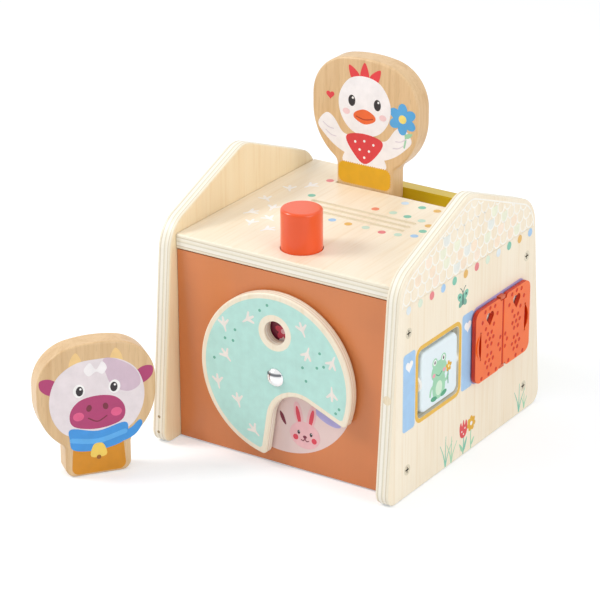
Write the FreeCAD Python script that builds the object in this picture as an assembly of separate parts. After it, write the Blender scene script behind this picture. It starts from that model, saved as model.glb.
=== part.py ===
import FreeCAD, Part
import math
import os

# Wooden pop-up toy: a gable-sided birch ply house with a push button that works a catapult lever.
# Millimetres. X runs to the right along the front, Y from the front to the back, Z up.
# The origin is on the floor, under the middle of the house.

V = FreeCAD.Vector
Rotation = FreeCAD.Rotation
Placement = FreeCAD.Placement

# ---- driving dimensions -------------------------------------------------------------------------
INNER_WIDTH = 160.0      # between the two side panels
PLY = 10.0               # side panels and deck
THIN_PLY = 9.0           # front and rear panels
BOARD_PLY = 8.0          # base board, flush with the bottom edges of the side panels
EDGE_RADIUS = 1.5        # sanded edges of the side panels

# gable outline of a side panel
BASE_HALF = 97.0
SHOULDER_HALF = 84.0
SHOULDER_Z = 147.5
APEX_Z = 180.0
BASE_CORNER_RADIUS = 9.0
SHOULDER_RADIUS = 24.0
APEX_RADIUS = 20.0

# deck
DECK_TOP = 142.5
DECK_FRONT = -79.3
DECK_REAR = 82.5
PANEL_FACE = 78.5        # outer faces of front and rear panels, either side of the middle
PANEL_BOTTOM = 1.0
SHADOW_GAP = 0.6         # between the front panel and the deck
JOINT_GAP = 0.4          # seen beside the deck and the front panel
SLOT_HALF = 44.0
SLOT_FRONT = 52.5
GROOVE_YS = (17.0, 9.8, 2.6)
GROOVE_LENGTH = 80.0
GROOVE_WIDTH = 3.4
GROOVE_DEPTH = 2.2

# push button
BUTTON_Y = -55.5
BUTTON_RADIUS = 13.4
BUTTON_GAP = 0.5
BUTTON_HEIGHT = 27.0
BUTTON_TRAVEL = 14.0
STEM_RADIUS = 5.0
STEM_BOTTOM = 80.0
GUIDE_TOP = 98.0
GUIDE_THICKNESS = 10.0
SPRING_RADIUS = 8.9      # to the middle of the wire
SPRING_WIRE = 1.4
SPRING_WIRE_SIDES = 16   # a fine polygon for the round wire
SPRING_TURNS = 6

# catapult lever
HINGE_Y = -10.0
FRONT_ARM = 45.0
REAR_ARM = 71.0
LEVER_THICKNESS = 10.0
AXLE_RADIUS = 2.5
PLAY = 0.3               # gap between pieces that push each other
RUNNING_CLEARANCE = 0.1  # radial, in bores that turn

# pop-up figures
FIGURE_THICKNESS = 15.0
SLOT_FIGURE_HEIGHT = 100.0
SLOT_FIGURE_SCALE = 1.045    # of its head against the floor figure's
FLOOR_FIGURE_HEIGHT = 91.4
HEAD_HALF = 38.8             # widest, and the radius of the head's lower part
CHEEK_DROP = 36.9            # of that part's centre under the crown
CROWN_RADIUS = 89.0
CROWN_HALF = 16.0
FOOT_HALF = 21.5
TOE_RADIUS = 6.5
NECK_FILLET = 6.0
SLOT_FIGURE_X = -22.0
FLOOR_FIGURE_X = -97.3
FLOOR_FIGURE_Y = -147.4
FLOOR_FIGURE_TURN = 52.5

# picture disc on the front
DISC_Z = 64.7
DISC_RADIUS = 56.6
DISC_THICKNESS = 7.0
PIVOT_RADIUS = 3.0
PEEP_UP = 30.6
PEEP_RADIUS = 8.0
PICTURE_RADIUS = 54.5
PICTURE_THICKNESS = 1.0

# spinning tile in the right panel
WINDOW_Y = -37.4
WINDOW_Z = 71.8
WINDOW_LENGTH = 50.0
WINDOW_HEIGHT = 46.4
TILE_HEIGHT = 41.2
TILE_LENGTH = 44.0
TILE_THICKNESS = 12.0
TILE_EDGE = 1.8          # rounding of its rims
SPACER_RADII = (6.4, 4.6)    # front and rear
ROD_RADIUS = 2.0

# pair of shutters in the right panel
SEAM_Y = 37.8
SHUTTER_BOTTOM = 47.3
SHUTTER_TOP = 97.6
SHUTTER_REACH = 35.2     # from the seam to an outer edge
SHUTTER_THICKNESS = 2.8
SHUTTER_STANDOFF = 1.0
PIN_OFFSET = 1.6         # of each hinge pin from the seam
PIN_RADIUS = 0.7
LUG_HALF = 3.1           # of the lugs that hold the pins, either side of the seam
LUG_HEIGHT = 2.0
LUG_GAP = 0.4            # between a lug and the shutters' barrels

SCREW_Z = (19.0, 112.0)
SCREW_Y = 74.0

# ---- dimensions that follow ---------------------------------------------------------------------
INNER = INNER_WIDTH / 2
OUTER = INNER + PLY
DECK_BOTTOM = DECK_TOP - PLY
PANEL_BACK = PANEL_FACE - THIN_PLY
LEVER_SWING = math.asin(BUTTON_TRAVEL / 2 / FRONT_ARM)
NOSE_RADIUS = LEVER_THICKNESS / 2
HINGE_Z = STEM_BOTTOM - PLAY - NOSE_RADIUS - FRONT_ARM * math.sin(LEVER_SWING)
LAUNCHER_BOTTOM = HINGE_Z - REAR_ARM * math.sin(LEVER_SWING) + NOSE_RADIUS + PLAY
LAUNCHER_TOP = DECK_BOTTOM - 0.8
FIGURE_Z = LAUNCHER_TOP + PLAY
SLOT_MID = (SLOT_FRONT + PANEL_BACK) / 2
DISC_BACK = -PANEL_FACE - 1.3
DISC_FRONT = DISC_BACK - DISC_THICKNESS
TILE_X = INNER + PLY / 2


# ---- helpers ------------------------------------------------------------------------------------
def box(x0, x1, y0, y1, z0, z1):
    return Part.makeBox(x1 - x0, y1 - y0, z1 - z0, V(x0, y0, z0))


def cylinder(radius, start, direction, length):
    return Part.makeCylinder(radius, length, V(*start), V(*direction))


def to_plane(plane, level, u, v):
    """A point (u, v) of an outline, placed in the YZ, XZ or XY plane at the given level."""
    if plane == "YZ":
        return V(level, u, v)
    if plane == "XZ":
        return V(u, level, v)
    return V(u, v, level)


def normal_of(plane):
    return {"YZ": V(1, 0, 0), "XZ": V(0, 1, 0), "XY": V(0, 0, 1)}[plane]


def rounded_prism(corners, plane, level, thickness):
    """Extrude a polygon whose corners are (u, v, radius)."""
    flat = [V(u, v, 0) for u, v, _ in corners]
    edges = []
    first = last = None
    for index, (u, v, radius) in enumerate(corners):
        here = flat[index]
        to_last = (flat[index - 1] - here).normalize()
        to_next = (flat[(index + 1) % len(flat)] - here).normalize()
        half = to_last.getAngle(to_next) / 2
        if radius:
            reach = radius / math.tan(half)
            start = here + to_last * reach
            end = here + to_next * reach
            middle_line = (to_last + to_next).normalize()
            middle = here + middle_line * (radius / math.sin(half) - radius)
        else:
            start = end = here
        if last is not None and (start - last).Length > 1e-6:
            edges.append((last, start))
        if radius:
            edges.append((start, middle, end))
        if first is None:
            first = start
        last = end
    if (first - last).Length > 1e-6:
        edges.append((last, first))
    shapes = []
    for points in edges:
        placed = [to_plane(plane, level, p.x, p.y) for p in points]
        curve = Part.LineSegment(*placed) if len(placed) == 2 else Part.Arc(*placed)
        shapes.append(curve.toShape())
    face = Part.Face(Part.Wire(Part.__sortEdges__(shapes)))
    return face.extrude(normal_of(plane) * thickness)


def soften(shape, radius, plane, levels):
    """Round the edges that lie in the planes at the given levels."""
    axis = {"YZ": "x", "XZ": "y", "XY": "z"}[plane]
    chosen = []
    for edge in shape.Edges:
        ends = [getattr(vertex.Point, axis) for vertex in edge.Vertexes]
        middle = getattr(edge.valueAt((edge.FirstParameter + edge.LastParameter) / 2), axis)
        for level in levels:
            if all(abs(value - level) < 1e-4 for value in ends + [middle]):
                chosen.append(edge)
    return shape.makeFillet(radius, chosen)


def rounded_box(u0, u1, v0, v1, radius, plane, level, thickness):
    corners = [(u0, v0, radius), (u1, v0, radius), (u1, v1, radius), (u0, v1, radius)]
    return rounded_prism(corners, plane, level, thickness)


def revolve(profile, start, direction):
    """Turn a closed (radius, height) profile about an axis through start."""
    points = [V(r, 0, h) for r, h in profile]
    face = Part.Face(Part.makePolygon(points + points[:1]))
    solid = face.revolve(V(0, 0, 0), V(0, 0, 1), 360)
    solid.Placement = Placement(V(*start), Rotation(V(0, 0, 1), V(*direction)))
    return solid


def save(name, *solids):
    shape = solids[0] if len(solids) == 1 else Part.makeCompound(list(solids))
    for solid in shape.Solids:
        if not solid.isValid():
            raise ValueError(name + " is not a valid solid")
    shape.exportStep("parts/" + name + ".step")
    print(name, len(shape.Solids), "solid(s), %.0f mm3" % shape.Volume)


# ---- screws of the side panels ------------------------------------------------------------------
SCREW_HEAD_RADIUS = 3.6
SCREW_HEAD_DEPTH = 2.4
SCREW_SHANK_RADIUS = 1.6
SCREW_LENGTH = 26.0


def screw_places():
    return [(y, z) for y in (-SCREW_Y, SCREW_Y) for z in SCREW_Z]


def screw_body(side, y, z):
    """A countersunk screw, driven from the outer face of the side panel on that side."""
    tip = 4.0
    profile = [
        (0, 0),
        (SCREW_HEAD_RADIUS, 0),
        (SCREW_HEAD_RADIUS, 0.4),
        (SCREW_SHANK_RADIUS, SCREW_HEAD_DEPTH),
        (SCREW_SHANK_RADIUS, SCREW_LENGTH - tip),
        (0, SCREW_LENGTH),
    ]
    return revolve(profile, (side * OUTER, y, z), (-side, 0, 0))


def screw(side, y, z):
    cross_length = 4.2
    cross_width = 0.9
    cross_depth = 1.2
    solid = screw_body(side, y, z)
    x0, x1 = sorted((side * OUTER, side * (OUTER - cross_depth)))
    for half_y, half_z in ((cross_length / 2, cross_width / 2), (cross_width / 2, cross_length / 2)):
        solid = solid.cut(box(x0, x1, y - half_y, y + half_y, z - half_z, z + half_z))
    return solid


# ---- side panels --------------------------------------------------------------------------------
def gable_panel(x0):
    corners = [
        (-BASE_HALF, 0, BASE_CORNER_RADIUS),
        (BASE_HALF, 0, BASE_CORNER_RADIUS),
        (SHOULDER_HALF, SHOULDER_Z, SHOULDER_RADIUS),
        (0, APEX_Z, APEX_RADIUS),
        (-SHOULDER_HALF, SHOULDER_Z, SHOULDER_RADIUS),
    ]
    panel = rounded_prism(corners, "YZ", x0, PLY)
    return soften(panel, EDGE_RADIUS, "YZ", (x0, x0 + PLY))


def front_edge_at(z):
    """Y of the leaning front edge of a side panel at height z."""
    return -(BASE_HALF + (SHOULDER_HALF - BASE_HALF) * z / SHOULDER_Z)


DOWEL_RADIUS = 3.0
DOWEL_DEPTH = 7.0
DOWEL_YS = (-60.0, 35.0)


def dowel_places():
    """Blind dowels that locate the deck and the base board in the side panels."""
    places = [(y, DECK_BOTTOM + PLY / 2) for y in DOWEL_YS]
    places += [(y, BOARD_PLY / 2) for y in DOWEL_YS]
    return places


def dowel(side, y, z):
    return cylinder(DOWEL_RADIUS, (side * (INNER - DOWEL_DEPTH), y, z), (side, 0, 0), 2 * DOWEL_DEPTH)


EDGE_PIN_RADIUS = 1.1
EDGE_PIN_LENGTH = 8.0
EDGE_PIN_ZS = (19.0, 8.5)


def edge_pin(z, length):
    """Small steel pin in the front edge of the left panel."""
    x = -(INNER + PLY / 2)
    return cylinder(EDGE_PIN_RADIUS, (x, front_edge_at(z) + 0.6, z), (0, 1, 0), length)


def left_side_panel():
    panel = gable_panel(-OUTER)
    for y, z in screw_places():
        panel = panel.cut(screw_body(-1, y, z))
    for y, z in dowel_places():
        panel = panel.cut(dowel(-1, y, z))
    for z in EDGE_PIN_ZS:
        panel = panel.cut(edge_pin(z, EDGE_PIN_LENGTH))
        panel = panel.cut(cylinder(EDGE_PIN_RADIUS, (-(INNER + PLY / 2), -BASE_HALF, z), (0, 1, 0), 3.0))
    return panel


ROD_START = WINDOW_Y - WINDOW_LENGTH / 2 - 22.0
ROD_END = WINDOW_Y + WINDOW_LENGTH / 2 + 6.0
PLUG_RADIUS = 3.0
BACKING_INSET = 4.5      # of the picture behind the shutters
BACKING_THICKNESS = 1.2


def window_cut():
    half_length = WINDOW_LENGTH / 2
    half_height = WINDOW_HEIGHT / 2
    return rounded_box(
        WINDOW_Y - half_length, WINDOW_Y + half_length,
        WINDOW_Z - half_height, WINDOW_Z + half_height, 4.0, "YZ", INNER - 1, PLY + 2,
    )


def backing(level, thickness):
    return rounded_box(
        SEAM_Y - SHUTTER_REACH + BACKING_INSET, SEAM_Y + SHUTTER_REACH - BACKING_INSET,
        SHUTTER_BOTTOM + BACKING_INSET, SHUTTER_TOP - BACKING_INSET, 4.0, "YZ", level, thickness,
    )


def right_side_panel():
    panel = gable_panel(INNER).cut(window_cut())
    panel = panel.cut(backing(OUTER - BACKING_THICKNESS, BACKING_THICKNESS + 1))
    panel = panel.cut(cylinder(ROD_RADIUS, (TILE_X, ROD_START, WINDOW_Z), (0, 1, 0), ROD_END - ROD_START))
    plug_start = front_edge_at(WINDOW_Z) - 1
    plug_length = ROD_START - plug_start
    panel = panel.cut(cylinder(PLUG_RADIUS, (TILE_X, plug_start, WINDOW_Z), (0, 1, 0), plug_length))
    for y, z in screw_places():
        panel = panel.cut(screw_body(1, y, z))
    for y, z in dowel_places():
        panel = panel.cut(dowel(1, y, z))
    return panel


def axle_plug():
    """Wood plug over the rod's hole, trimmed to the leaning front edge."""
    plug = cylinder(PLUG_RADIUS, (TILE_X, front_edge_at(WINDOW_Z) - 1, WINDOW_Z), (0, 1, 0), 20.0)
    return plug.common(gable_panel(INNER)).cut(box(INNER, OUTER, ROD_START, 0, 0, APEX_Z))


# ---- front, rear, deck and hidden boards --------------------------------------------------------
def front_panel():
    half = INNER - JOINT_GAP
    panel = box(-half, half, -PANEL_FACE, -PANEL_BACK, PANEL_BOTTOM, DECK_BOTTOM - SHADOW_GAP)
    panel = panel.cut(picture_plate(0))
    panel = panel.cut(cylinder(PIVOT_RADIUS, (0, -PANEL_FACE - 1, DISC_Z), (0, 1, 0), THIN_PLY + 2))
    for side in (-1, 1):
        for z in SCREW_Z:
            panel = panel.cut(screw_body(side, -SCREW_Y, z))
    return panel


TONGUE_GAP = 0.3


def rear_panel():
    tongue = SLOT_HALF - TONGUE_GAP
    corners = [
        (-INNER, PANEL_BOTTOM, 0), (INNER, PANEL_BOTTOM, 0),
        (INNER, DECK_BOTTOM, 0), (tongue, DECK_BOTTOM, 0),
        (tongue, DECK_TOP, 1.0), (-tongue, DECK_TOP, 1.0),
        (-tongue, DECK_BOTTOM, 0), (-INNER, DECK_BOTTOM, 0),
    ]
    panel = rounded_prism(corners, "XZ", PANEL_BACK, THIN_PLY)
    for side in (-1, 1):
        for z in SCREW_Z:
            panel = panel.cut(screw_body(side, SCREW_Y, z))
    return panel


def groove(y):
    half = GROOVE_LENGTH / 2
    radius = GROOVE_WIDTH / 2
    bottom = DECK_TOP - GROOVE_DEPTH
    cutter = box(-half + radius, half - radius, y - radius, y + radius, bottom, DECK_TOP + 1)
    for x in (-half + radius, half - radius):
        cutter = cutter.fuse(cylinder(radius, (x, y, bottom), (0, 0, 1), GROOVE_DEPTH + 1))
    return cutter


def top_deck():
    half = INNER - JOINT_GAP
    corners = [
        (-half, DECK_FRONT, 0), (half, DECK_FRONT, 0),
        (half, DECK_REAR, 0), (SLOT_HALF, DECK_REAR, 2.0),
        (SLOT_HALF, SLOT_FRONT, 0), (-SLOT_HALF, SLOT_FRONT, 0),
        (-SLOT_HALF, DECK_REAR, 2.0), (-half, DECK_REAR, 0),
    ]
    deck = rounded_prism(corners, "XY", DECK_BOTTOM, PLY)
    front_edges = []
    for edge in deck.Edges:
        ends = [vertex.Point for vertex in edge.Vertexes]
        if all(abs(p.y - DECK_FRONT) < 1e-4 for p in ends) and abs(ends[0].z - ends[1].z) < 1e-4:
            front_edges.append(edge)
    deck = deck.makeFillet(1.2, front_edges)
    deck = deck.cut(cylinder(BUTTON_RADIUS + BUTTON_GAP, (0, BUTTON_Y, DECK_BOTTOM - 1), (0, 0, 1), PLY + 2))
    for y in GROOVE_YS:
        deck = deck.cut(groove(y))
    for side in (-1, 1):
        for y, z in dowel_places():
            deck = deck.cut(dowel(side, y, z))
    return deck


def base_board():
    board = box(-INNER, INNER, -PANEL_BACK, PANEL_BACK, 0, BOARD_PLY)
    for side in (-1, 1):
        for y, z in dowel_places():
            board = board.cut(dowel(side, y, z))
    return board


SLOT_BOARD_THICKNESS = 6.0
SLOT_BOARD_BOTTOM = 92.0
SLOT_BOARD_SETBACK = 0.3


def slot_board():
    """Inner wall of the slot, hung under the deck between the side panels."""
    rear = SLOT_FRONT - SLOT_BOARD_SETBACK
    return box(-INNER, INNER, rear - SLOT_BOARD_THICKNESS, rear, SLOT_BOARD_BOTTOM, DECK_BOTTOM)


# ---- push button --------------------------------------------------------------------------------
FLANGE_TOP = DECK_BOTTOM - 0.4
FLANGE_THICKNESS = 4.0
STEM_SOCKET = 12.0
BUTTON_EDGE_RADIUS = 2.0


def push_button():
    bottom = FLANGE_TOP - FLANGE_THICKNESS
    top = DECK_TOP + BUTTON_HEIGHT
    body = cylinder(BUTTON_RADIUS, (0, BUTTON_Y, bottom), (0, 0, 1), top - bottom)
    body = soften(body, BUTTON_EDGE_RADIUS, "XY", (top,))
    flange = box(-19.5, 19.5, BUTTON_Y - 10, BUTTON_Y + 10, bottom, FLANGE_TOP)
    socket = cylinder(STEM_RADIUS, (0, BUTTON_Y, bottom), (0, 0, 1), STEM_SOCKET)
    return body.fuse(flange).removeSplitter().cut(socket)


def button_stem():
    top = FLANGE_TOP - FLANGE_THICKNESS + STEM_SOCKET
    stem = cylinder(STEM_RADIUS, (0, BUTTON_Y, STEM_BOTTOM), (0, 0, 1), top - STEM_BOTTOM)
    return soften(stem, 3.0, "XY", (STEM_BOTTOM,))


def button_guide():
    """Wooden block behind the front panel that the stem slides in."""
    block = box(-22, 22, -PANEL_BACK, -41.0, GUIDE_TOP - GUIDE_THICKNESS, GUIDE_TOP)
    bore = cylinder(STEM_RADIUS + RUNNING_CLEARANCE, (0, BUTTON_Y, 0), (0, 0, 1), DECK_TOP)
    return block.cut(bore)


def return_spring():
    bottom = GUIDE_TOP + SPRING_WIRE / 2
    height = FLANGE_TOP - FLANGE_THICKNESS - SPRING_WIRE / 2 - bottom
    helix = Part.makeHelix(height / SPRING_TURNS, height, SPRING_RADIUS)
    rim = []
    for index in range(SPRING_WIRE_SIDES + 1):
        angle = 2 * math.pi * index / SPRING_WIRE_SIDES
        rim.append(V(SPRING_RADIUS + SPRING_WIRE / 2 * math.cos(angle), 0, SPRING_WIRE / 2 * math.sin(angle)))
    section = Part.makePolygon(rim)
    coil = Part.Wire(helix.Edges).makePipeShell([section], True, True)
    coil.translate(V(0, BUTTON_Y, bottom))
    return coil.Solids[0] if coil.Solids else Part.makeSolid(coil)


# ---- catapult lever -----------------------------------------------------------------------------
def swung(shape):
    """Turn a piece of the lever from level to its rest position, front arm up."""
    shape.rotate(V(0, HINGE_Y, HINGE_Z), V(1, 0, 0), -math.degrees(LEVER_SWING))
    return shape


def pop_lever():
    """T-shaped board with round noses: a narrow front arm and a wide rear crossbar."""
    front_half = 16.0
    rear_half = 40.0
    crossbar = 26.0
    front = HINGE_Y - FRONT_ARM
    rear = HINGE_Y + REAR_ARM
    corners = [
        (-front_half, front, 0), (front_half, front, 0),
        (front_half, rear - crossbar, 6.0), (rear_half, rear - crossbar, 4.0),
        (rear_half, rear, 0), (-rear_half, rear, 0),
        (-rear_half, rear - crossbar, 4.0), (-front_half, rear - crossbar, 6.0),
    ]
    lever = rounded_prism(corners, "XY", HINGE_Z - NOSE_RADIUS, LEVER_THICKNESS)
    for y, half in ((front, front_half), (rear, rear_half)):
        lever = lever.fuse(cylinder(NOSE_RADIUS, (-half, y, HINGE_Z), (1, 0, 0), 2 * half))
    lever = lever.removeSplitter()
    bore_radius = AXLE_RADIUS + RUNNING_CLEARANCE
    bore = cylinder(bore_radius, (-front_half, HINGE_Y, HINGE_Z), (1, 0, 0), 2 * front_half)
    return swung(lever.cut(bore))


BRACKET_INNER = 18.0
BRACKET_THICKNESS = 10.0


def lever_bracket(side):
    x0, x1 = sorted((side * BRACKET_INNER, side * (BRACKET_INNER + BRACKET_THICKNESS)))
    top = HINGE_Z + 10.0
    bottom = BOARD_PLY
    corners = [
        (HINGE_Y - 16, bottom, 0), (HINGE_Y + 16, bottom, 0),
        (HINGE_Y + 9, top, 8.0), (HINGE_Y - 9, top, 8.0),
    ]
    bracket = rounded_prism(corners, "YZ", x0, x1 - x0)
    return bracket.cut(cylinder(AXLE_RADIUS, (x0, HINGE_Y, HINGE_Z), (1, 0, 0), x1 - x0))


AXLE_CAP_THICKNESS = 3.0
AXLE_CAP_RADIUS = 4.5


def lever_axle():
    reach = BRACKET_INNER + BRACKET_THICKNESS + AXLE_CAP_THICKNESS - 0.8
    return cylinder(AXLE_RADIUS, (-reach, HINGE_Y, HINGE_Z), (1, 0, 0), 2 * reach)


def axle_caps():
    caps = []
    for side in (-1, 1):
        start = side * (BRACKET_INNER + BRACKET_THICKNESS)
        cap = cylinder(AXLE_CAP_RADIUS, (start, HINGE_Y, HINGE_Z), (side, 0, 0), AXLE_CAP_THICKNESS)
        caps.append(cap.cut(lever_axle()))
    return caps


def axle_washers():
    """Spacers that keep the lever centred between its brackets."""
    washers = []
    for side in (-1, 1):
        start = side * BRACKET_INNER
        washer = cylinder(5.5, (start, HINGE_Y, HINGE_Z), (-side, 0, 0), 1.6)
        washers.append(washer.cut(lever_axle()))
    return washers


LAUNCHER_HALF = SLOT_HALF - 0.7
LAUNCHER_THICKNESS = 14.0
STRIP_WIDTH = 12.0


def launcher_plate():
    """Board that slides up in the slot and throws the figure; its lower edge is rounded for the lever."""
    front = SLOT_MID - LAUNCHER_THICKNESS / 2
    rear = SLOT_MID + LAUNCHER_THICKNESS / 2
    nose = 6.0
    corners = [
        (front, LAUNCHER_BOTTOM, nose), (rear, LAUNCHER_BOTTOM, nose),
        (rear, LAUNCHER_TOP, 0.8), (front, LAUNCHER_TOP, 0.8),
    ]
    return rounded_prism(corners, "YZ", -LAUNCHER_HALF, 2 * LAUNCHER_HALF)


def guide_strip(side):
    """Upright beside the launcher plate, between the slot board and the rear panel."""
    x0, x1 = sorted((side * SLOT_HALF, side * (SLOT_HALF + STRIP_WIDTH)))
    bottom = LAUNCHER_BOTTOM - 4.0
    return box(x0, x1, SLOT_FRONT - SLOT_BOARD_SETBACK, PANEL_BACK, bottom, DECK_BOTTOM)


# ---- figures ------------------------------------------------------------------------------------
def angle_of(direction):
    """Degrees from +X towards +Z."""
    return math.degrees(math.atan2(direction.z, direction.x))


def arc(centre, radius, start, end):
    """Arc in the XZ plane between two angles in degrees."""
    points = []
    for angle in (start, (start + end) / 2, end):
        turn = math.radians(angle)
        points.append(centre + V(math.cos(turn), 0, math.sin(turn)) * radius)
    return Part.Arc(*points)


def figure_blank(height, scale):
    """Squarish round head on a straight foot, standing at the origin and facing the front."""
    half = HEAD_HALF * scale
    crown_half = CROWN_HALF * scale
    crown_radius = CROWN_RADIUS * scale
    slope = math.asin(crown_half / crown_radius)
    crown_z = height - crown_radius * (1 - math.cos(slope))
    temple_radius = (half - crown_half) / (1 - math.sin(slope))
    temple = V(half - temple_radius, 0, crown_z - temple_radius * math.cos(slope))
    cheek = V(0, 0, height - CHEEK_DROP * scale)
    neck_x = FOOT_HALF + NECK_FILLET
    neck = V(neck_x, 0, cheek.z - math.sqrt((half + NECK_FILLET) ** 2 - neck_x ** 2))
    to_head = (cheek - neck).normalize()
    half_outline = [
        Part.LineSegment(V(0, 0, 0), V(FOOT_HALF - TOE_RADIUS, 0, 0)),
        arc(V(FOOT_HALF - TOE_RADIUS, 0, TOE_RADIUS), TOE_RADIUS, -90, 0),
        Part.LineSegment(V(FOOT_HALF, 0, TOE_RADIUS), V(FOOT_HALF, 0, neck.z)),
        arc(neck, NECK_FILLET, 180, angle_of(to_head)),
        arc(cheek, half, angle_of(-to_head), 0),
        Part.LineSegment(V(half, 0, cheek.z), V(half, 0, temple.z)),
        arc(temple, temple_radius, 0, 90 - math.degrees(slope)),
        arc(V(0, 0, height - crown_radius), crown_radius, 90 - math.degrees(slope), 90),
    ]
    edges = [curve.toShape() for curve in half_outline]
    mirrored = [edge.mirror(V(0, 0, 0), V(1, 0, 0)) for edge in edges]
    face = Part.Face(Part.Wire(Part.__sortEdges__(edges + mirrored)))
    front = -FIGURE_THICKNESS / 2
    blank = face.extrude(V(0, FIGURE_THICKNESS, 0))
    blank.translate(V(0, front, 0))
    return soften(blank, 1.6, "XZ", (front, -front))


def slot_figure():
    figure = figure_blank(SLOT_FIGURE_HEIGHT, SLOT_FIGURE_SCALE)
    figure.translate(V(SLOT_FIGURE_X, SLOT_MID, FIGURE_Z))
    return figure


def floor_figure():
    figure = figure_blank(FLOOR_FIGURE_HEIGHT, 1.0)
    figure.rotate(V(0, 0, 0), V(0, 0, 1), FLOOR_FIGURE_TURN)
    figure.translate(V(FLOOR_FIGURE_X, FLOOR_FIGURE_Y, 0))
    return figure


# ---- picture disc -------------------------------------------------------------------------------
def picture_plate(bore):
    plate = cylinder(PICTURE_RADIUS, (0, -PANEL_FACE, DISC_Z), (0, 1, 0), PICTURE_THICKNESS)
    if bore:
        plate = plate.cut(cylinder(bore, (0, -PANEL_FACE - 1, DISC_Z), (0, 1, 0), PICTURE_THICKNESS + 2))
    return plate


NOTCH_APEX = (0.8, -2.2)       # from the pivot, before rounding
NOTCH_ANGLES = (-98.8, -22.1)
NOTCH_TIP_RADIUS = 20.0


def disc_notch():
    """Wedge that uncovers one picture at a time."""
    reach = 90.0
    apex_u = NOTCH_APEX[0]
    apex_v = DISC_Z + NOTCH_APEX[1]
    corners = [(apex_u, apex_v, NOTCH_TIP_RADIUS)]
    for angle in NOTCH_ANGLES:
        turn = math.radians(angle)
        corners.append((apex_u + reach * math.cos(turn), apex_v + reach * math.sin(turn), 0))
    return rounded_prism(corners, "XZ", DISC_FRONT - 1, DISC_THICKNESS + 2)


def picture_disc():
    disc = cylinder(DISC_RADIUS, (0, DISC_FRONT, DISC_Z), (0, 1, 0), DISC_THICKNESS).cut(disc_notch())
    tips = []
    for edge in disc.Edges:
        along_y = abs(abs(edge.tangentAt(edge.FirstParameter).y) - 1) < 1e-6
        middle = edge.valueAt((edge.FirstParameter + edge.LastParameter) / 2)
        at_rim = math.hypot(middle.x, middle.z - DISC_Z) > DISC_RADIUS - 0.5
        if along_y and at_rim and len(edge.Vertexes) == 2 and middle.z < DISC_Z:
            tips.append(edge)
    disc = disc.makeFillet(3.0, tips)
    disc = soften(disc, 1.2, "XZ", (DISC_FRONT, DISC_BACK))
    peep = cylinder(PEEP_RADIUS, (0, DISC_FRONT - 1, DISC_Z + PEEP_UP), (0, 1, 0), DISC_THICKNESS + 2)
    bore_radius = PIVOT_RADIUS + RUNNING_CLEARANCE
    bore = cylinder(bore_radius, (0, DISC_FRONT - 1, DISC_Z), (0, 1, 0), DISC_THICKNESS + 2)
    return disc.cut(peep).cut(bore)


NUT_THICKNESS = 3.6
PIVOT_END = -PANEL_BACK + 1.0 + NUT_THICKNESS + 1.0


def pivot_bolt():
    """Chromed dome-headed bolt that the disc turns on."""
    head_radius = 6.3
    head_height = 3.4
    start = DISC_FRONT - 0.3
    sphere_radius = (head_radius ** 2 + head_height ** 2) / (2 * head_height)
    dome = Part.makeSphere(sphere_radius, V(0, start - head_height + sphere_radius, DISC_Z))
    dome = dome.common(cylinder(head_radius, (0, start, DISC_Z), (0, -1, 0), head_height + 1))
    shank = cylinder(PIVOT_RADIUS, (0, start, DISC_Z), (0, 1, 0), PIVOT_END - start)
    return dome.fuse(shank).removeSplitter()


def disc_spacer():
    ring = cylinder(8.0, (0, -PANEL_FACE - 1.0, DISC_Z), (0, 1, 0), 1.0)
    return ring.cut(pivot_bolt())


def pivot_washer():
    ring = cylinder(6.5, (0, -PANEL_BACK, DISC_Z), (0, 1, 0), 1.0)
    return ring.cut(pivot_bolt())


def pivot_nut():
    radius = 5.8
    start = -PANEL_BACK + 1.0
    points = []
    for index in range(7):
        turn = math.radians(60 * index)
        points.append(V(radius * math.cos(turn), start, DISC_Z + radius * math.sin(turn)))
    nut = Part.Face(Part.makePolygon(points)).extrude(V(0, NUT_THICKNESS, 0))
    return nut.cut(pivot_bolt())


# ---- spinning tile ------------------------------------------------------------------------------
def spinner_tile():
    half_height = TILE_HEIGHT / 2
    half_length = TILE_LENGTH / 2
    x0 = TILE_X - TILE_THICKNESS / 2
    tile = rounded_box(
        WINDOW_Y - half_length, WINDOW_Y + half_length,
        WINDOW_Z - half_height, WINDOW_Z + half_height, 5.0, "YZ", x0, TILE_THICKNESS,
    )
    tile = soften(tile, TILE_EDGE, "YZ", (x0, x0 + TILE_THICKNESS))
    bore = cylinder(ROD_RADIUS + RUNNING_CLEARANCE, (TILE_X, WINDOW_Y - 40, WINDOW_Z), (0, 1, 0), 80)
    return tile.cut(bore)


def spinner_rod():
    return cylinder(ROD_RADIUS, (TILE_X, ROD_START, WINDOW_Z), (0, 1, 0), ROD_END - ROD_START)


def spinner_spacers():
    spacers = []
    gap = (WINDOW_LENGTH - TILE_LENGTH) / 2
    for side, radius in zip((-1, 1), SPACER_RADII):
        start = WINDOW_Y + side * WINDOW_LENGTH / 2
        spacer = cylinder(radius, (TILE_X, start, WINDOW_Z), (0, -side, 0), gap - PLAY)
        spacers.append(spacer.cut(spinner_rod()))
    return spacers


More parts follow.
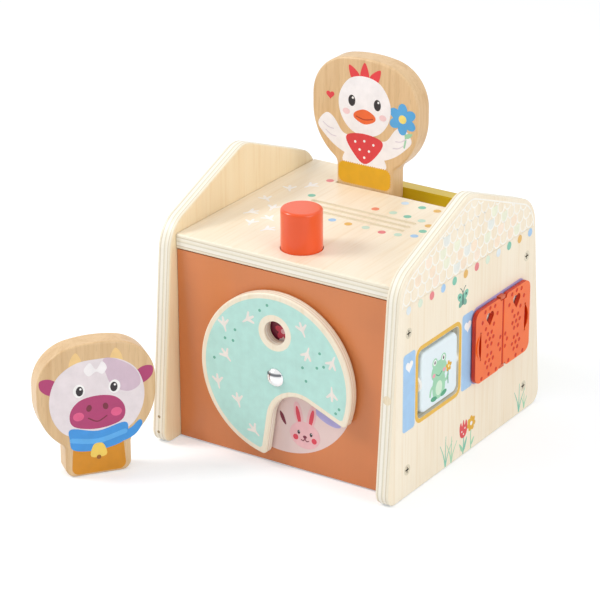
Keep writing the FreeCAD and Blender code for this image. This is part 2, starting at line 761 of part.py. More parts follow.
# ---- shutters -----------------------------------------------------------------------------------
SHUTTER_X = OUTER + SHUTTER_STANDOFF
PIN_X = SHUTTER_X + SHUTTER_THICKNESS / 2
SHUTTER_FACE = SHUTTER_X + SHUTTER_THICKNESS
HEART_Z = 88.4
HEART_OFFSET = 17.3
GRIP_Z = 72.6
GRIP_HALF = 9.2          # half its height
GRIP_END = 28.6          # of its pointed ends from the seam
GRIP_INNER = 28.0        # of the groove's middle from the seam
GRIP_LIP = 32.2          # where the groove ends and its lip begins
GRIP_OUTER = 34.2
GRIP_RISE = 0.6
GRIP_DEPTH = 1.8
DIMPLE_RADIUS = 2.2
DIMPLE_DEPTH = 0.7
HEART_RING = ((-9.6, 0), (9.6, 0), (-6.2, 6.2), (0, 7.0), (6.2, 6.2), (-5.2, -5.8), (5.2, -5.8))
FLOWER_ZS = (73.9, 59.0)
SEAM_RING = ((5.6, 65.6), (3.2, 70.0), (3.2, 61.3))
FOOT_ROW = (8.2, 17.8, 26.9)
LEAF_INNER = PIN_OFFSET + 2.1    # from the seam to a leaf, beside the lugs


def heart(y, z, size, level, thickness):
    """Heart of that width: two round lobes over a point."""
    lobe = size * 0.28
    apart = size * 0.22
    lobes = []
    for side in (-1, 1):
        lobes.append(cylinder(lobe, (level, y + side * apart, z + lobe * 0.55), (1, 0, 0), thickness))
    wide = size * 0.46
    point = [V(level, y - wide, z), V(level, y + wide, z), V(level, y, z - size * 0.55)]
    tip = Part.Face(Part.makePolygon(point + point[:1])).extrude(V(thickness, 0, 0))
    band = box(level, level + thickness, y - apart, y + apart, z - 0.1, z + lobe * 0.55)
    return lobes[0].fuse([lobes[1], tip, band]).removeSplitter()


def dimple_places():
    """(distance from the seam, height) of a leaf's dimples: heart ring, two flowers, seam, foot row."""
    places = [(HEART_OFFSET + across, HEART_Z + up) for across, up in HEART_RING]
    petal_reach = 4.8
    for flower_z in FLOWER_ZS:
        places.append((HEART_OFFSET, flower_z))
        for index in range(6):
            turn = math.radians(60 * index)
            petal = (HEART_OFFSET + petal_reach * math.cos(turn), flower_z + petal_reach * math.sin(turn))
            places.append(petal)
    places += SEAM_RING
    places += [(offset, SHUTTER_BOTTOM + 2.0) for offset in FOOT_ROW]
    return places


def sickle(side, near, far, level, thickness):
    """Sickle between two arcs with shared ends, bulging away from the seam to those distances."""
    ends = []
    for half in (GRIP_HALF, -GRIP_HALF):
        ends.append(V(level, SEAM_Y + side * GRIP_END, GRIP_Z + half))
    middles = [V(level, SEAM_Y + side * reach, GRIP_Z) for reach in (near, far)]
    arcs = [Part.Arc(ends[0], middle, ends[1]).toShape() for middle in middles]
    return Part.Face(Part.Wire(Part.__sortEdges__(arcs))).extrude(V(thickness, 0, 0))


def finger_groove(side):
    """Sickle-shaped hollow with a small round sink at each end."""
    groove = sickle(side, GRIP_INNER, GRIP_LIP, SHUTTER_FACE - GRIP_DEPTH, GRIP_DEPTH + 1)
    for half in (GRIP_HALF, -GRIP_HALF):
        start = (SHUTTER_FACE - 1, SEAM_Y + side * (GRIP_END + 0.2), GRIP_Z + half)
        groove = groove.fuse(cylinder(0.8, start, (1, 0, 0), 2))
    return groove


def finger_ridge(side):
    """Sickle-shaped lip beside the groove, highest at its middle."""
    radius = (GRIP_HALF ** 2 + GRIP_RISE ** 2) / (2 * GRIP_RISE)
    centre = (SHUTTER_FACE + GRIP_RISE - radius, SEAM_Y, GRIP_Z)
    dome = cylinder(radius, centre, (0, side, 0), SHUTTER_REACH)
    return sickle(side, GRIP_LIP, GRIP_OUTER, SHUTTER_FACE - 0.4, 2 * GRIP_RISE).common(dome)


def shutter(side):
    """One leaf: side -1 is nearer the front of the house, +1 nearer the back."""
    pin_y = SEAM_Y + side * PIN_OFFSET
    outer_y = SEAM_Y + side * SHUTTER_REACH
    inner_y = SEAM_Y + side * LEAF_INNER
    low, high = sorted((outer_y, inner_y))
    outer_radius = 6.0
    inner_radius = 3.0
    radii = (outer_radius, inner_radius) if side < 0 else (inner_radius, outer_radius)
    corners = [
        (low, SHUTTER_BOTTOM, radii[0]), (high, SHUTTER_BOTTOM, radii[1]),
        (high, SHUTTER_TOP, radii[1]), (low, SHUTTER_TOP, radii[0]),
    ]
    leaf = rounded_prism(corners, "YZ", SHUTTER_X, SHUTTER_THICKNESS)
    barrel_bottom = SHUTTER_BOTTOM + LUG_HEIGHT + LUG_GAP
    barrel_top = SHUTTER_TOP - LUG_HEIGHT - LUG_GAP
    barrel_length = barrel_top - barrel_bottom
    low, high = sorted((pin_y, inner_y + side))
    leaf = leaf.fuse(box(SHUTTER_X, SHUTTER_FACE, low, high, barrel_bottom, barrel_top))
    leaf = leaf.fuse(cylinder(SHUTTER_THICKNESS / 2, (PIN_X, pin_y, barrel_bottom), (0, 0, 1), barrel_length))
    leaf = leaf.removeSplitter()
    leaf = leaf.cut(heart(SEAM_Y + side * HEART_OFFSET, HEART_Z, 9.6, SHUTTER_X - 1, SHUTTER_THICKNESS + 2))
    sink = SHUTTER_FACE + DIMPLE_RADIUS - DIMPLE_DEPTH
    for offset, z in dimple_places():
        leaf = leaf.cut(Part.makeSphere(DIMPLE_RADIUS, V(sink, SEAM_Y + side * offset, z)))
    leaf = leaf.cut(finger_groove(side)).fuse(finger_ridge(side)).removeSplitter()
    bore = cylinder(PIN_RADIUS + RUNNING_CLEARANCE, (PIN_X, pin_y, barrel_bottom), (0, 0, 1), barrel_length)
    return leaf.cut(bore)


def shutter_pins():
    pins = []
    end_inset = 0.6
    length = SHUTTER_TOP - SHUTTER_BOTTOM - 2 * end_inset
    for side in (-1, 1):
        start = (PIN_X, SEAM_Y + side * PIN_OFFSET, SHUTTER_BOTTOM + end_inset)
        pins.append(cylinder(PIN_RADIUS, start, (0, 0, 1), length))
    return pins


def shutter_lugs():
    """Small blocks on the panel that hold both hinge pins, above and below the shutters' barrels."""
    lugs = []
    top_x = PIN_X + 1.1
    corners = [
        (OUTER, SEAM_Y - LUG_HALF, 0), (top_x, SEAM_Y - LUG_HALF, 0.6),
        (top_x, SEAM_Y + LUG_HALF, 0.6), (OUTER, SEAM_Y + LUG_HALF, 0),
    ]
    for z in (SHUTTER_BOTTOM, SHUTTER_TOP - LUG_HEIGHT):
        lugs.append(rounded_prism(corners, "XY", z, LUG_HEIGHT).cut(shutter_pins()))
    return lugs


# ---- export -------------------------------------------------------------------------------------
def main():
    os.makedirs("parts", exist_ok=True)
    save("left_side_panel", left_side_panel())
    save("right_side_panel", right_side_panel())
    save("front_panel", front_panel())
    save("rear_panel", rear_panel())
    save("top_deck", top_deck())
    save("base_board", base_board())
    save("slot_board", slot_board())
    save("left_panel_screws", *[screw(-1, y, z) for y, z in screw_places()])
    save("right_panel_screws", *[screw(1, y, z) for y, z in screw_places()])
    save("deck_and_base_dowels", *[dowel(side, y, z) for side in (-1, 1) for y, z in dowel_places()])
    save("edge_pins", *[edge_pin(z, EDGE_PIN_LENGTH) for z in EDGE_PIN_ZS])

    save("push_button", push_button())
    save("button_stem", button_stem())
    save("button_guide", button_guide())
    save("return_spring", return_spring())

    save("pop_lever", pop_lever())
    save("left_lever_bracket", lever_bracket(-1))
    save("right_lever_bracket", lever_bracket(1))
    save("lever_axle", lever_axle())
    save("axle_caps", *axle_caps())
    save("axle_washers", *axle_washers())
    save("launcher_plate", launcher_plate())
    save("left_guide_strip", guide_strip(-1))
    save("right_guide_strip", guide_strip(1))
    save("slot_figure", slot_figure())
    save("floor_figure", floor_figure())

    save("picture_disc", picture_disc())
    save("picture_plate", picture_plate(PIVOT_RADIUS))
    save("disc_spacer", disc_spacer())
    save("pivot_bolt", pivot_bolt())
    save("pivot_washer", pivot_washer())
    save("pivot_nut", pivot_nut())

    save("spinner_tile", spinner_tile())
    save("spinner_rod", spinner_rod())
    save("spinner_spacers", *spinner_spacers())
    save("axle_plug", axle_plug())

    save("front_shutter", shutter(-1))
    save("rear_shutter", shutter(1))
    save("shutter_pins", *shutter_pins())
    save("shutter_lugs", *shutter_lugs())
    save("shutter_backing", backing(OUTER - BACKING_THICKNESS, BACKING_THICKNESS))


main()
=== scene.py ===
import math
import random

import bmesh
import bpy
from mathutils import Matrix, Vector


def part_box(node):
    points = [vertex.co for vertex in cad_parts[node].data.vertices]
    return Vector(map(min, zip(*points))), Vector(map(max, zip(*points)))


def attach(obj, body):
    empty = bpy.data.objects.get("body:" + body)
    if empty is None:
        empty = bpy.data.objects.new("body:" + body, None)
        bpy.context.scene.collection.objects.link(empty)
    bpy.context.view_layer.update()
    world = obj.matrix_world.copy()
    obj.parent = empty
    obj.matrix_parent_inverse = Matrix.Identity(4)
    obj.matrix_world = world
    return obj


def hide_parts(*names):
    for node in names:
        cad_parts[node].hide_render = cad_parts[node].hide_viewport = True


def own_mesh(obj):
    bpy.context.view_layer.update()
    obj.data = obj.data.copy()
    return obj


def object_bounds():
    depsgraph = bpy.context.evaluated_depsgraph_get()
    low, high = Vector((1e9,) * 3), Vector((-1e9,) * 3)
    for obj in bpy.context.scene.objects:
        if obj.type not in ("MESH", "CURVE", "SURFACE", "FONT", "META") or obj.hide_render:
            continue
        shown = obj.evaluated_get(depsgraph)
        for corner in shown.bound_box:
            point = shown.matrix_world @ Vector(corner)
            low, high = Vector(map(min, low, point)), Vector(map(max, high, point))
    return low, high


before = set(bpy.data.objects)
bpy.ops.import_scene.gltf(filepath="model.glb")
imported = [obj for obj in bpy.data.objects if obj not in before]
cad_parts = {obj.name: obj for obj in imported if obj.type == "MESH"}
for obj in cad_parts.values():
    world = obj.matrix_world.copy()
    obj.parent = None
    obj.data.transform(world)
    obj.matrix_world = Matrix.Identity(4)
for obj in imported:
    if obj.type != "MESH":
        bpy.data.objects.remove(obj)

# Looks of the wooden pop-up toy: printed birch ply house, painted fronts, varnished figures.
# Metres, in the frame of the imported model; printed artwork is laid out in millimetres on its own face.

cad_low, cad_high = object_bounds()
MM = 0.001
X, Y, Z = Vector((1, 0, 0)), Vector((0, 1, 0)), Vector((0, 0, 1))


# ---- finishes ----
def srgb(red, green, blue):
    """An 8-bit screen colour as the linear colour that shaders take."""
    channels = []
    for value in (red, green, blue):
        value /= 255
        channels.append(value / 12.92 if value <= 0.04045 else ((value + 0.055) / 1.055) ** 2.4)
    return (*channels, 1.0)


class Finish:
    """A material being built, with short calls for the nodes that it needs."""

    def __init__(self, name, **sockets):
        self.material = bpy.data.materials.new(name)
        self.material.use_nodes = True
        self.tree = self.material.node_tree
        self.shader = self.tree.nodes["Principled BSDF"]
        for label, value in sockets.items():
            self.shader.inputs[label.replace("_", " ")].default_value = value

    def plug(self, value, socket):
        if isinstance(value, bpy.types.NodeSocket):
            self.tree.links.new(value, socket)
        else:
            socket.default_value = value

    def node(self, kind, inputs, output=0, **settings):
        node = self.tree.nodes.new("ShaderNode" + kind)
        for label, value in settings.items():
            setattr(node, label, value)
        for key, value in inputs.items():
            self.plug(value, node.inputs[key])
        return node.outputs[output]

    def coordinates(self, kind="Object"):
        return self.node("TexCoord", {}, output=kind)

    def place(self, axis, kind="Object"):
        """One of the object coordinates, in metres."""
        return self.node("SeparateXYZ", {"Vector": self.coordinates(kind)}, output=axis)

    def facing(self, axis):
        """One component of the surface's direction."""
        return self.place(axis, "Normal")

    def grain(self, axis, across, along, detail, roughness=0.5, distortion=0.0):
        """Noise drawn out along one axis; across and along are its scales per metre."""
        scale = [across] * 3
        scale[axis] = along
        inputs = {
            "Vector": self.node("Mapping", {"Vector": self.coordinates(), "Scale": scale}),
            "Scale": 1.0, "Detail": detail, "Roughness": roughness, "Distortion": distortion,
        }
        return self.node("TexNoise", inputs)

    def speckle(self, scale, **settings):
        """Noise of the same scale, per metre, every way."""
        return self.grain(2, scale, scale, **settings)

    def maths(self, operation, first, second=0.0):
        return self.node("Math", {0: first, 1: second}, operation=operation)

    def ramp(self, factor, *stops):
        """Colours at places between 0 and 1, blended in a straight line."""
        output = self.node("ValToRGB", {"Fac": factor})
        ramp = output.node.color_ramp
        while len(ramp.elements) < len(stops):
            ramp.elements.new(1.0)
        for element, (position, colour) in zip(ramp.elements, stops):
            element.position = position
            element.color = colour
        return output

    def tones(self, factor, colour, dark, light):
        """A colour that varies between two shares of its brightness."""
        return self.ramp(factor, (0.3, shade(colour, dark)), (0.7, shade(colour, light)))

    def mix(self, factor, first, second):
        inputs = {0: factor, 6: first, 7: second}
        return self.node("Mix", inputs, output=2, data_type="RGBA")

    def paint(self, colour):
        self.plug(colour, self.shader.inputs["Base Color"])

    def gloss(self, factor, low, high):
        """Roughness that follows a 0 to 1 factor between two values."""
        inputs = {"Value": factor, "To Min": low, "To Max": high}
        self.plug(self.node("MapRange", inputs), self.shader.inputs["Roughness"])

    def bump(self, height, depth, strength):
        inputs = {"Height": height, "Distance": depth, "Strength": strength}
        self.plug(self.node("Bump", inputs), self.shader.inputs["Normal"])


def shade(colour, amount):
    return (*[min(1.0, channel * amount) for channel in colour[:3]], 1.0)


PLY_FACE, PLY_FACE_DARK = srgb(247, 236, 215), srgb(238, 220, 189)
# painted shade: a darker, warmer copy of the ply face colours, for the left panel's inner face, which is in
# shade
SHADED_PLY_FACE, SHADED_PLY_FACE_DARK = srgb(245, 229, 194), srgb(236, 211, 166)
PLY_CREAM, PLY_WHITE = srgb(243, 235, 214), srgb(250, 246, 234)
PLY_GREY, PLY_GREEN_GREY = srgb(216, 204, 180), srgb(222, 216, 194)


def ply_layers(finish, depth):
    """Soft cream, grey and white plies, seen on a cut edge; depth runs from 0 to 1 through the board."""
    wave = finish.speckle(30.0, detail=1)
    sway = finish.maths("MULTIPLY", finish.maths("SUBTRACT", wave, 0.5), 0.04)
    stops = (
        (0.16, PLY_CREAM), (0.20, PLY_GREY), (0.23, PLY_GREY), (0.27, PLY_WHITE), (0.44, PLY_WHITE),
        (0.48, PLY_GREEN_GREY), (0.52, PLY_GREEN_GREY), (0.56, PLY_CREAM), (0.72, PLY_WHITE),
        (0.76, PLY_GREY), (0.79, PLY_GREY), (0.83, PLY_CREAM),
    )
    layers = finish.ramp(finish.maths("ADD", depth, sway), *stops)
    fibres = finish.speckle(900.0, detail=2)
    return finish.mix(0.10, layers, finish.ramp(fibres, (0.3, PLY_GREY), (0.7, PLY_WHITE)))


def plywood(name, axis, start, thickness, grain_axis, light=PLY_FACE, dark=PLY_FACE_DARK):
    """Lacquered birch ply: straight pale grain on faces that look along axis, plies on its edges."""
    finish = Finish(name, Coat_Weight=0.2, Coat_Roughness=0.25, IOR=1.48)
    fine = finish.grain(grain_axis, 420.0, 16.0, detail=5, roughness=0.6)
    broad = finish.grain(grain_axis, 46.0, 4.0, detail=2, distortion=0.7)
    streaks = finish.ramp(fine, (0.28, dark), (0.5, light), (0.74, shade(light, 1.03)))
    figure = finish.ramp(broad, (0.3, dark), (0.6, light))
    face = finish.mix(0.4, streaks, figure)
    on_edge = finish.maths("LESS_THAN", finish.maths("ABSOLUTE", finish.facing(axis)), 0.62)
    depth = finish.maths("DIVIDE", finish.maths("SUBTRACT", finish.place(axis), start), thickness)
    finish.paint(finish.mix(on_edge, face, ply_layers(finish, depth)))
    finish.gloss(fine, 0.38, 0.52)
    finish.bump(fine, 0.00004, 0.3)
    return finish.material


def solid_wood(name, light, dark, gloss=0.4, coat=0.2):
    """Straight-grained hardwood with short dark pores, grain along Z."""
    finish = Finish(name, Coat_Weight=coat, Coat_Roughness=0.25)
    fine = finish.grain(2, 520.0, 20.0, detail=5, roughness=0.65)
    broad = finish.grain(2, 85.0, 5.0, detail=3, distortion=0.9)
    pores = finish.grain(2, 1500.0, 90.0, detail=2)
    tone = finish.ramp(broad, (0.3, dark), (0.5, light), (0.7, shade(light, 1.06)))
    streaks = finish.ramp(fine, (0.3, dark), (0.55, light))
    colour = finish.mix(0.45, tone, streaks)
    pore_mask = finish.ramp(pores, (0.30, srgb(255, 255, 255)), (0.38, srgb(0, 0, 0)))
    finish.paint(finish.mix(finish.maths("MULTIPLY", pore_mask, 0.28), colour, shade(dark, 0.66)))
    finish.gloss(fine, gloss - 0.05, gloss + 0.12)
    finish.bump(fine, 0.00006, 0.4)
    return finish.material


def lacquer(name, colour, grain_axis, gloss, coat, variation):
    """Satin paint over wood, through which the grain shows faintly."""
    finish = Finish(name, Coat_Weight=coat, Coat_Roughness=0.16)
    grain = finish.grain(grain_axis, 300.0, 14.0, detail=4, roughness=0.6)
    cloud = finish.speckle(24.0, detail=2)
    tone = finish.ramp(cloud, (0.35, shade(colour, 1 - variation)), (0.65, shade(colour, 1 + variation)))
    streaks = finish.tones(grain, colour, 0.9, 1.1)
    finish.paint(finish.mix(0.1, tone, streaks))
    finish.gloss(cloud, gloss - 0.04, gloss + 0.06)
    finish.bump(grain, 0.00004, 0.25)
    return finish.material


def moulded_plastic(name, colour, gloss=0.3):
    """Smooth moulded plastic with a faint mould texture and slightly uneven gloss."""
    finish = Finish(name, IOR=1.49)
    mottle = finish.speckle(55.0, detail=3)
    finish.paint(finish.tones(mottle, colour, 0.93, 1.05))
    finish.gloss(mottle, gloss - 0.05, gloss + 0.08)
    finish.bump(finish.speckle(2400.0, detail=1), 0.00003, 0.3)
    return finish.material


def shutter_paint(face_x):
    """Orange plastic whose sides, dimples and grooves, below the front face, take a deep red that is painted
    shade.
    """
    finish = Finish("shutter_orange", IOR=1.49)
    mottle = finish.speckle(55.0, detail=3)
    orange = finish.ramp(mottle, (0.3, srgb(240, 98, 8)), (0.7, srgb(246, 110, 16)))
    # painted shade: the deep red for the sides, dimples and grooves below the front face
    red = finish.ramp(mottle, (0.3, srgb(196, 40, 0)), (0.7, srgb(212, 54, 4)))
    below = finish.maths("LESS_THAN", finish.place(0), face_x - 0.15 * MM)
    not_back = finish.maths("GREATER_THAN", finish.facing(0), -0.5)
    finish.paint(finish.mix(finish.maths("MULTIPLY", below, not_back), orange, red))
    finish.gloss(mottle, 0.3, 0.42)
    finish.bump(finish.speckle(2400.0, detail=1), 0.00003, 0.3)
    return finish.material


def screw_steel(face_x):
    """Bright screw heads, with painted shade in the driver recess: a near-black colour."""
    finish = Finish("screw_steel", Metallic=1.0)
    scratches = finish.speckle(900.0, detail=4, roughness=0.7)
    bright = finish.ramp(scratches, (0.3, srgb(206, 196, 172)), (0.7, srgb(232, 222, 200)))
    # painted shade: below the head's face, the driver recess is coloured near black
    shaded_recess = finish.maths("LESS_THAN", finish.maths("ABSOLUTE", finish.place(0)), face_x - 0.2 * MM)
    finish.paint(finish.mix(shaded_recess, bright, srgb(48, 44, 40)))
    finish.gloss(scratches, 0.3, 0.44)
    finish.bump(scratches, 0.00002, 0.3)
    return finish.material


def domed_chrome():
    """Polished dome with a painted reflection: a dark band in its colour near its top."""
    finish = Finish("dome_chrome", Metallic=1.0)
    scratches = finish.speckle(900.0, detail=4, roughness=0.7)
    bright, painted_dark_band = srgb(240, 240, 241), srgb(118, 120, 126)
    # painted reflection: a dark band where the surface faces partly upward
    finish.paint(finish.ramp(finish.facing(2), (0.26, bright), (0.34, painted_dark_band), (0.46, painted_dark_band), (0.56, bright)))
    finish.gloss(scratches, 0.06, 0.12)
    finish.bump(scratches, 0.00001, 0.2)
    return finish.material


def metal(name, colour, rough, brushed_axis=2, along=900.0):
    """Plated or polished steel with fine scratches, which are long where along is small."""
    finish = Finish(name, Metallic=1.0)
    scratches = finish.grain(brushed_axis, 900.0, along, detail=4, roughness=0.7)
    finish.paint(finish.tones(scratches, colour, 0.86, 1.0))
    finish.gloss(scratches, rough, rough + 0.14)
    finish.bump(scratches, 0.00002, 0.3)
    return finish.material


INKS = {}


def ink(red, green, blue):
    """Screen-printed colour: matt, slightly uneven, with the wood's grain showing a little."""
    key = (red, green, blue)
    if key not in INKS:
        colour = srgb(red, green, blue)
        finish = Finish("ink_%02x%02x%02x" % key, Coat_Weight=0.15, Coat_Roughness=0.3)
        grain = finish.grain(2, 420.0, 22.0, detail=4)
        cover = finish.speckle(160.0, detail=3)
        body = finish.tones(cover, colour, 0.94, 1.04)
        finish.paint(finish.mix(0.16, body, finish.tones(grain, colour, 0.85, 1.0)))
        finish.gloss(cover, 0.42, 0.55)
        finish.bump(grain, 0.00003, 0.2)
        INKS[key] = finish.material
    return INKS[key]


# print colours
WHITE = (250, 249, 248)
MINT = (188, 232, 223)
TEAL = (126, 198, 174)
GREEN = (158, 214, 178)
DARK_GREEN = (70, 160, 120)
SKY = (163, 203, 240)
PALE_MINT = (196, 224, 206)
PALE_SKY = (200, 222, 240)
BLUE = (84, 160, 224)
LILAC = (178, 172, 224)
MUSTARD = (226, 170, 0)
AMBER = (228, 180, 92)
FRAME_AMBER = (232, 184, 62)
FAINT_SKY = (224, 234, 238)
FAINT_GREEN = (220, 234, 214)
SCALE_WHITE = (253, 249, 240)
TRACK_WHITE = (244, 236, 228)
RED = (222, 58, 66)
ROSE = (230, 128, 132)
PINK = (240, 178, 186)
PLUM = (178, 66, 108)
MAROON = (120, 30, 55)
BLACK = (30, 22, 28)


# ---- outlines ----
def moved(points, u=0.0, v=0.0, turn=0.0, scale=1.0):
    """Points scaled, turned by degrees, then moved by (u, v)."""
    turn = math.radians(turn)
    cosine, sine = math.cos(turn), math.sin(turn)
    result = []
    for a, b in points:
        a, b = a * scale, b * scale
        result.append((u + a * cosine - b * sine, v + a * sine + b * cosine))
    return result


def oval(u, v, wide, high=None, turn=0.0, count=36):
    """Ellipse of those half widths, turned by degrees."""
    high = wide if high is None else high
    angles = [2 * math.pi * index / count for index in range(count)]
    return moved([(wide * math.cos(angle), high * math.sin(angle)) for angle in angles], u, v, turn)


def smooth(points, steps, closed=True):
    """Catmull-Rom curve through a few points."""
    result = []
    count = len(points)
    for index in range(count if closed else count - 1):
        around = range(index - 1, index + 3)
        if closed:
            window = [points[i % count] for i in around]
        else:
            window = [points[min(max(i, 0), count - 1)] for i in around]
        before, start, end, after = [Vector(point) for point in window]
        for step in range(steps):
            t = step / steps
            place = 0.5 * (
                2 * start + (end - before) * t
                + (2 * before - 5 * start + 4 * end - after) * t ** 2
                + (3 * start - before - 3 * end + after) * t ** 3
            )
            result.append(tuple(place))
    if not closed:
        result.append(tuple(points[-1]))
    return result


def rounded(corners, steps=6):
    """Polygon of (u, v, radius) corners, its corners turned into arcs."""
    result = []
    count = len(corners)
    for index, (u, v, radius) in enumerate(corners):
        here = Vector((u, v))
        back = (Vector(corners[index - 1][:2]) - here).normalized()
        ahead = (Vector(corners[(index + 1) % count][:2]) - here).normalized()
        if radius <= 0:
            result.append((u, v))
            continue
        half = back.angle(ahead) / 2
        centre = here + (back + ahead).normalized() * (radius / math.sin(half))
        start = here + back * (radius / math.tan(half)) - centre
        end = here + ahead * (radius / math.tan(half)) - centre
        for step in range(steps + 1):
            result.append(tuple(centre + start.lerp(end, step / steps).normalized() * radius))
    return result


def panel_outline(u0, u1, v0, v1, radius):
    return rounded([(u0, v0, radius), (u1, v0, radius), (u1, v1, radius), (u0, v1, radius)])


def heart_outline(size):
    """Heart of that width round the origin."""
    points = []
    for index in range(40):
        t = 2 * math.pi * index / 40
        a = 16 * math.sin(t) ** 3
        b = 13 * math.cos(t) - 5 * math.cos(2 * t) - 2 * math.cos(3 * t) - math.cos(4 * t)
        points.append((a * size / 32, b * size / 32))
    return points[::-1]


class Print:
    """Artwork printed on a flat face: closed shapes a hair proud of it, one over the other."""

    SUNK = 0.05 * MM     # how far a shape reaches into the wood
    FILM = 0.05 * MM     # height of the lowest layer
    STEP = 0.03 * MM     # from layer to layer
    GAP = 0.002 * MM     # from shape to shape within a layer
    SHAPES = 12          # after which the gaps start again

    def __init__(self, name, origin, right, up):
        self.name = name
        self.origin, self.right, self.up = Vector(origin), Vector(right), Vector(up)
        self.normal = self.right.cross(self.up)
        self.mesh = bmesh.new()
        self.materials = []
        self.count = 0

    def top_of(self, layer):
        """Height of a shape's face: each is a little higher than the last, so no two share a plane."""
        self.count += 1
        return self.FILM + self.STEP * layer + self.GAP * (self.count % self.SHAPES)

    def at(self, u, v, height):
        return self.origin + (self.right * u + self.up * v) * MM + self.normal * height

    def slot_of(self, colour):
        material = ink(*colour)
        if material not in self.materials:
            self.materials.append(material)
        return self.materials.index(material)

    def fill(self, points, colour, layer=0):
        """A filled closed shape."""
        area = sum(a[0] * b[1] - b[0] * a[1] for a, b in zip(points, points[1:] + points[:1]))
        if area < 0:
            points = points[::-1]
        top = self.top_of(layer)
        upper = [self.mesh.verts.new(self.at(u, v, top)) for u, v in points]
        lower = [self.mesh.verts.new(self.at(u, v, -self.SUNK)) for u, v in points]
        index = self.slot_of(colour)
        faces = [self.mesh.faces.new(upper), self.mesh.faces.new(lower[::-1])]
        count = len(points)
        for i in range(count):
            j = (i + 1) % count
            faces.append(self.mesh.faces.new((upper[j], upper[i], lower[i], lower[j])))
        for face in faces:
            face.material_index = index

    def soft(self, points, colour, layer=0, raised=0.0, side=1, steps=6):
        """A filled smooth shape through a few points, raised along v, and mirrored if side is -1."""
        self.fill([(side * u, raised + v) for u, v in smooth(points, steps)], colour, layer)

    def band(self, outer, inner, colour, layer=0):
        """A closed strip between two outlines of equal count."""
        top = self.top_of(layer)
        index = self.slot_of(colour)
        rows = []
        for outline, height in ((outer, -self.SUNK), (outer, top), (inner, top), (inner, -self.SUNK)):
            rows.append([self.mesh.verts.new(self.at(u, v, height)) for u, v in outline])
        count = len(outer)
        for row in range(4):
            here, after = rows[row], rows[(row + 1) % 4]
            for i in range(count):
                j = (i + 1) % count
                face = self.mesh.faces.new((here[i], here[j], after[j], after[i]))
                face.material_index = index

    def stroke(self, points, width, colour, layer=0, taper=1.0, curved=True):
        """A brush line along a smooth path; taper is the far end's width as a share of the near end's."""
        path = smooth(points, 6, closed=False) if curved and len(points) > 2 else points
        path = [Vector(point) for point in path]
        left, right = [], []
        for i, here in enumerate(path):
            ahead = path[min(i + 1, len(path) - 1)] - path[max(i - 1, 0)]
            side = Vector((-ahead.y, ahead.x)).normalized()
            half = width / 2 * (1 + (taper - 1) * i / (len(path) - 1))
            left.append(here + side * half)
            right.append(here - side * half)
        caps = []
        for tip, edge in ((path[-1], right[-1]), (path[0], left[0])):
            caps.append([tip + Matrix.Rotation(math.pi * step / 6, 2) @ (edge - tip) for step in range(1, 6)])
        outline = right + caps[0] + left[::-1] + caps[1]
        self.fill([tuple(point) for point in outline], colour, layer)

    def eye(self, u, v, size, layer):
        """Dark oval eye with a small glint."""
        self.fill(oval(u, v, size * 0.72, size), BLACK, layer)
        self.fill(oval(u + size * 0.2, v + size * 0.42, size * 0.22), WHITE, layer + 1)

    def flower(self, u, v, size, petal, heart, layer, petals=5):
        for index in range(petals):
            angle = math.radians(90.0 + 360 * index / petals)
            centre = (u + size * 0.58 * math.cos(angle), v + size * 0.58 * math.sin(angle))
            self.fill(oval(*centre, size * 0.46, size * 0.34, math.degrees(angle), 20), petal, layer)
        self.fill(oval(u, v, size * 0.28, count=20), heart, layer + 1)

    def leaf(self, u, v, length, width, turn, colour, layer=0):
        shape = [(0, 0), (length * 0.35, width / 2), (length, 0), (length * 0.35, -width / 2)]
        self.fill(moved(smooth(shape, 5), u, v, turn), colour, layer)

    def build(self, body):
        bmesh.ops.recalc_face_normals(self.mesh, faces=self.mesh.faces)
        data = bpy.data.meshes.new(self.name)
        self.mesh.to_mesh(data)
        self.mesh.free()
        for material in self.materials:
            data.materials.append(material)
        piece = added(self.name, data)
        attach(piece, body)


def bird_track(sheet, u, v, turn, size, colour):
    """Three thick toes and a heel."""
    for toe in ((-0.38, 0.26), (0.0, 0.46), (0.38, 0.26)):
        sheet.stroke(moved([(0, -0.06), toe], u, v, turn, size), 0.25 * size, colour, 1, taper=0.62)
    heel = moved([(0, 0), (0.04, -0.5)], u, v, turn, size)
    sheet.stroke(heel, 0.22 * size, colour, 1, taper=0.5)


def grass(sheet, u, v, size, colour):
    """Three blades from one root."""
    for spread, height in ((-0.32, 0.8), (0.02, 1.0), (0.4, 0.7)):
        tip = (u + spread * size, v + height * size)
        bend = (u + spread * size * 0.35, v + height * size * 0.5)
        sheet.stroke([(u + spread * 0.2, v), bend, tip], 1.2, colour, 0, taper=0.3)


def added(name, data):
    """A new object in the scene."""
    piece = bpy.data.objects.new(name, data)
    bpy.context.scene.collection.objects.link(piece)
    return piece


def dress(material, *nodes):
    """Gives CAD nodes their finish."""
    for name in nodes:
        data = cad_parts[name].data
        data.materials.clear()
        data.materials.append(material)


# ---- places read from the frame, in millimetres ----
def in_mm(box):
    return [[value / MM for value in corner] for corner in box]


deck_low, deck_high = in_mm(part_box("top_deck"))
panel_low, panel_high = in_mm(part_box("right_side_panel"))
disc_low, disc_high = in_mm(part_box("picture_disc"))
tile_low, tile_high = in_mm(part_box("spinner_tile"))
slot_figure_low, slot_figure_high = in_mm(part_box("slot_figure"))
picture_low, picture_high = in_mm(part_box("picture_plate"))
left_low = in_mm(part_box("left_side_panel"))[0]

PIVOT_Z = (picture_low[2] + picture_high[2]) / 2
DISC_RADIUS = disc_high[2] - PIVOT_Z
SCREW_FACE = in_mm(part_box("right_panel_screws"))[1][0]
SHUTTER_FACE = 93.8                  # outer face of the shutters
FIGURE_TURN = math.radians(52.5)     # of the figure on the floor
FIGURE_PLACE = (-97.3, -147.4)
FIGURE_THICKNESS = 15.0
PLY_THICKNESS = 10 * MM
DISC_THICKNESS = 7 * MM


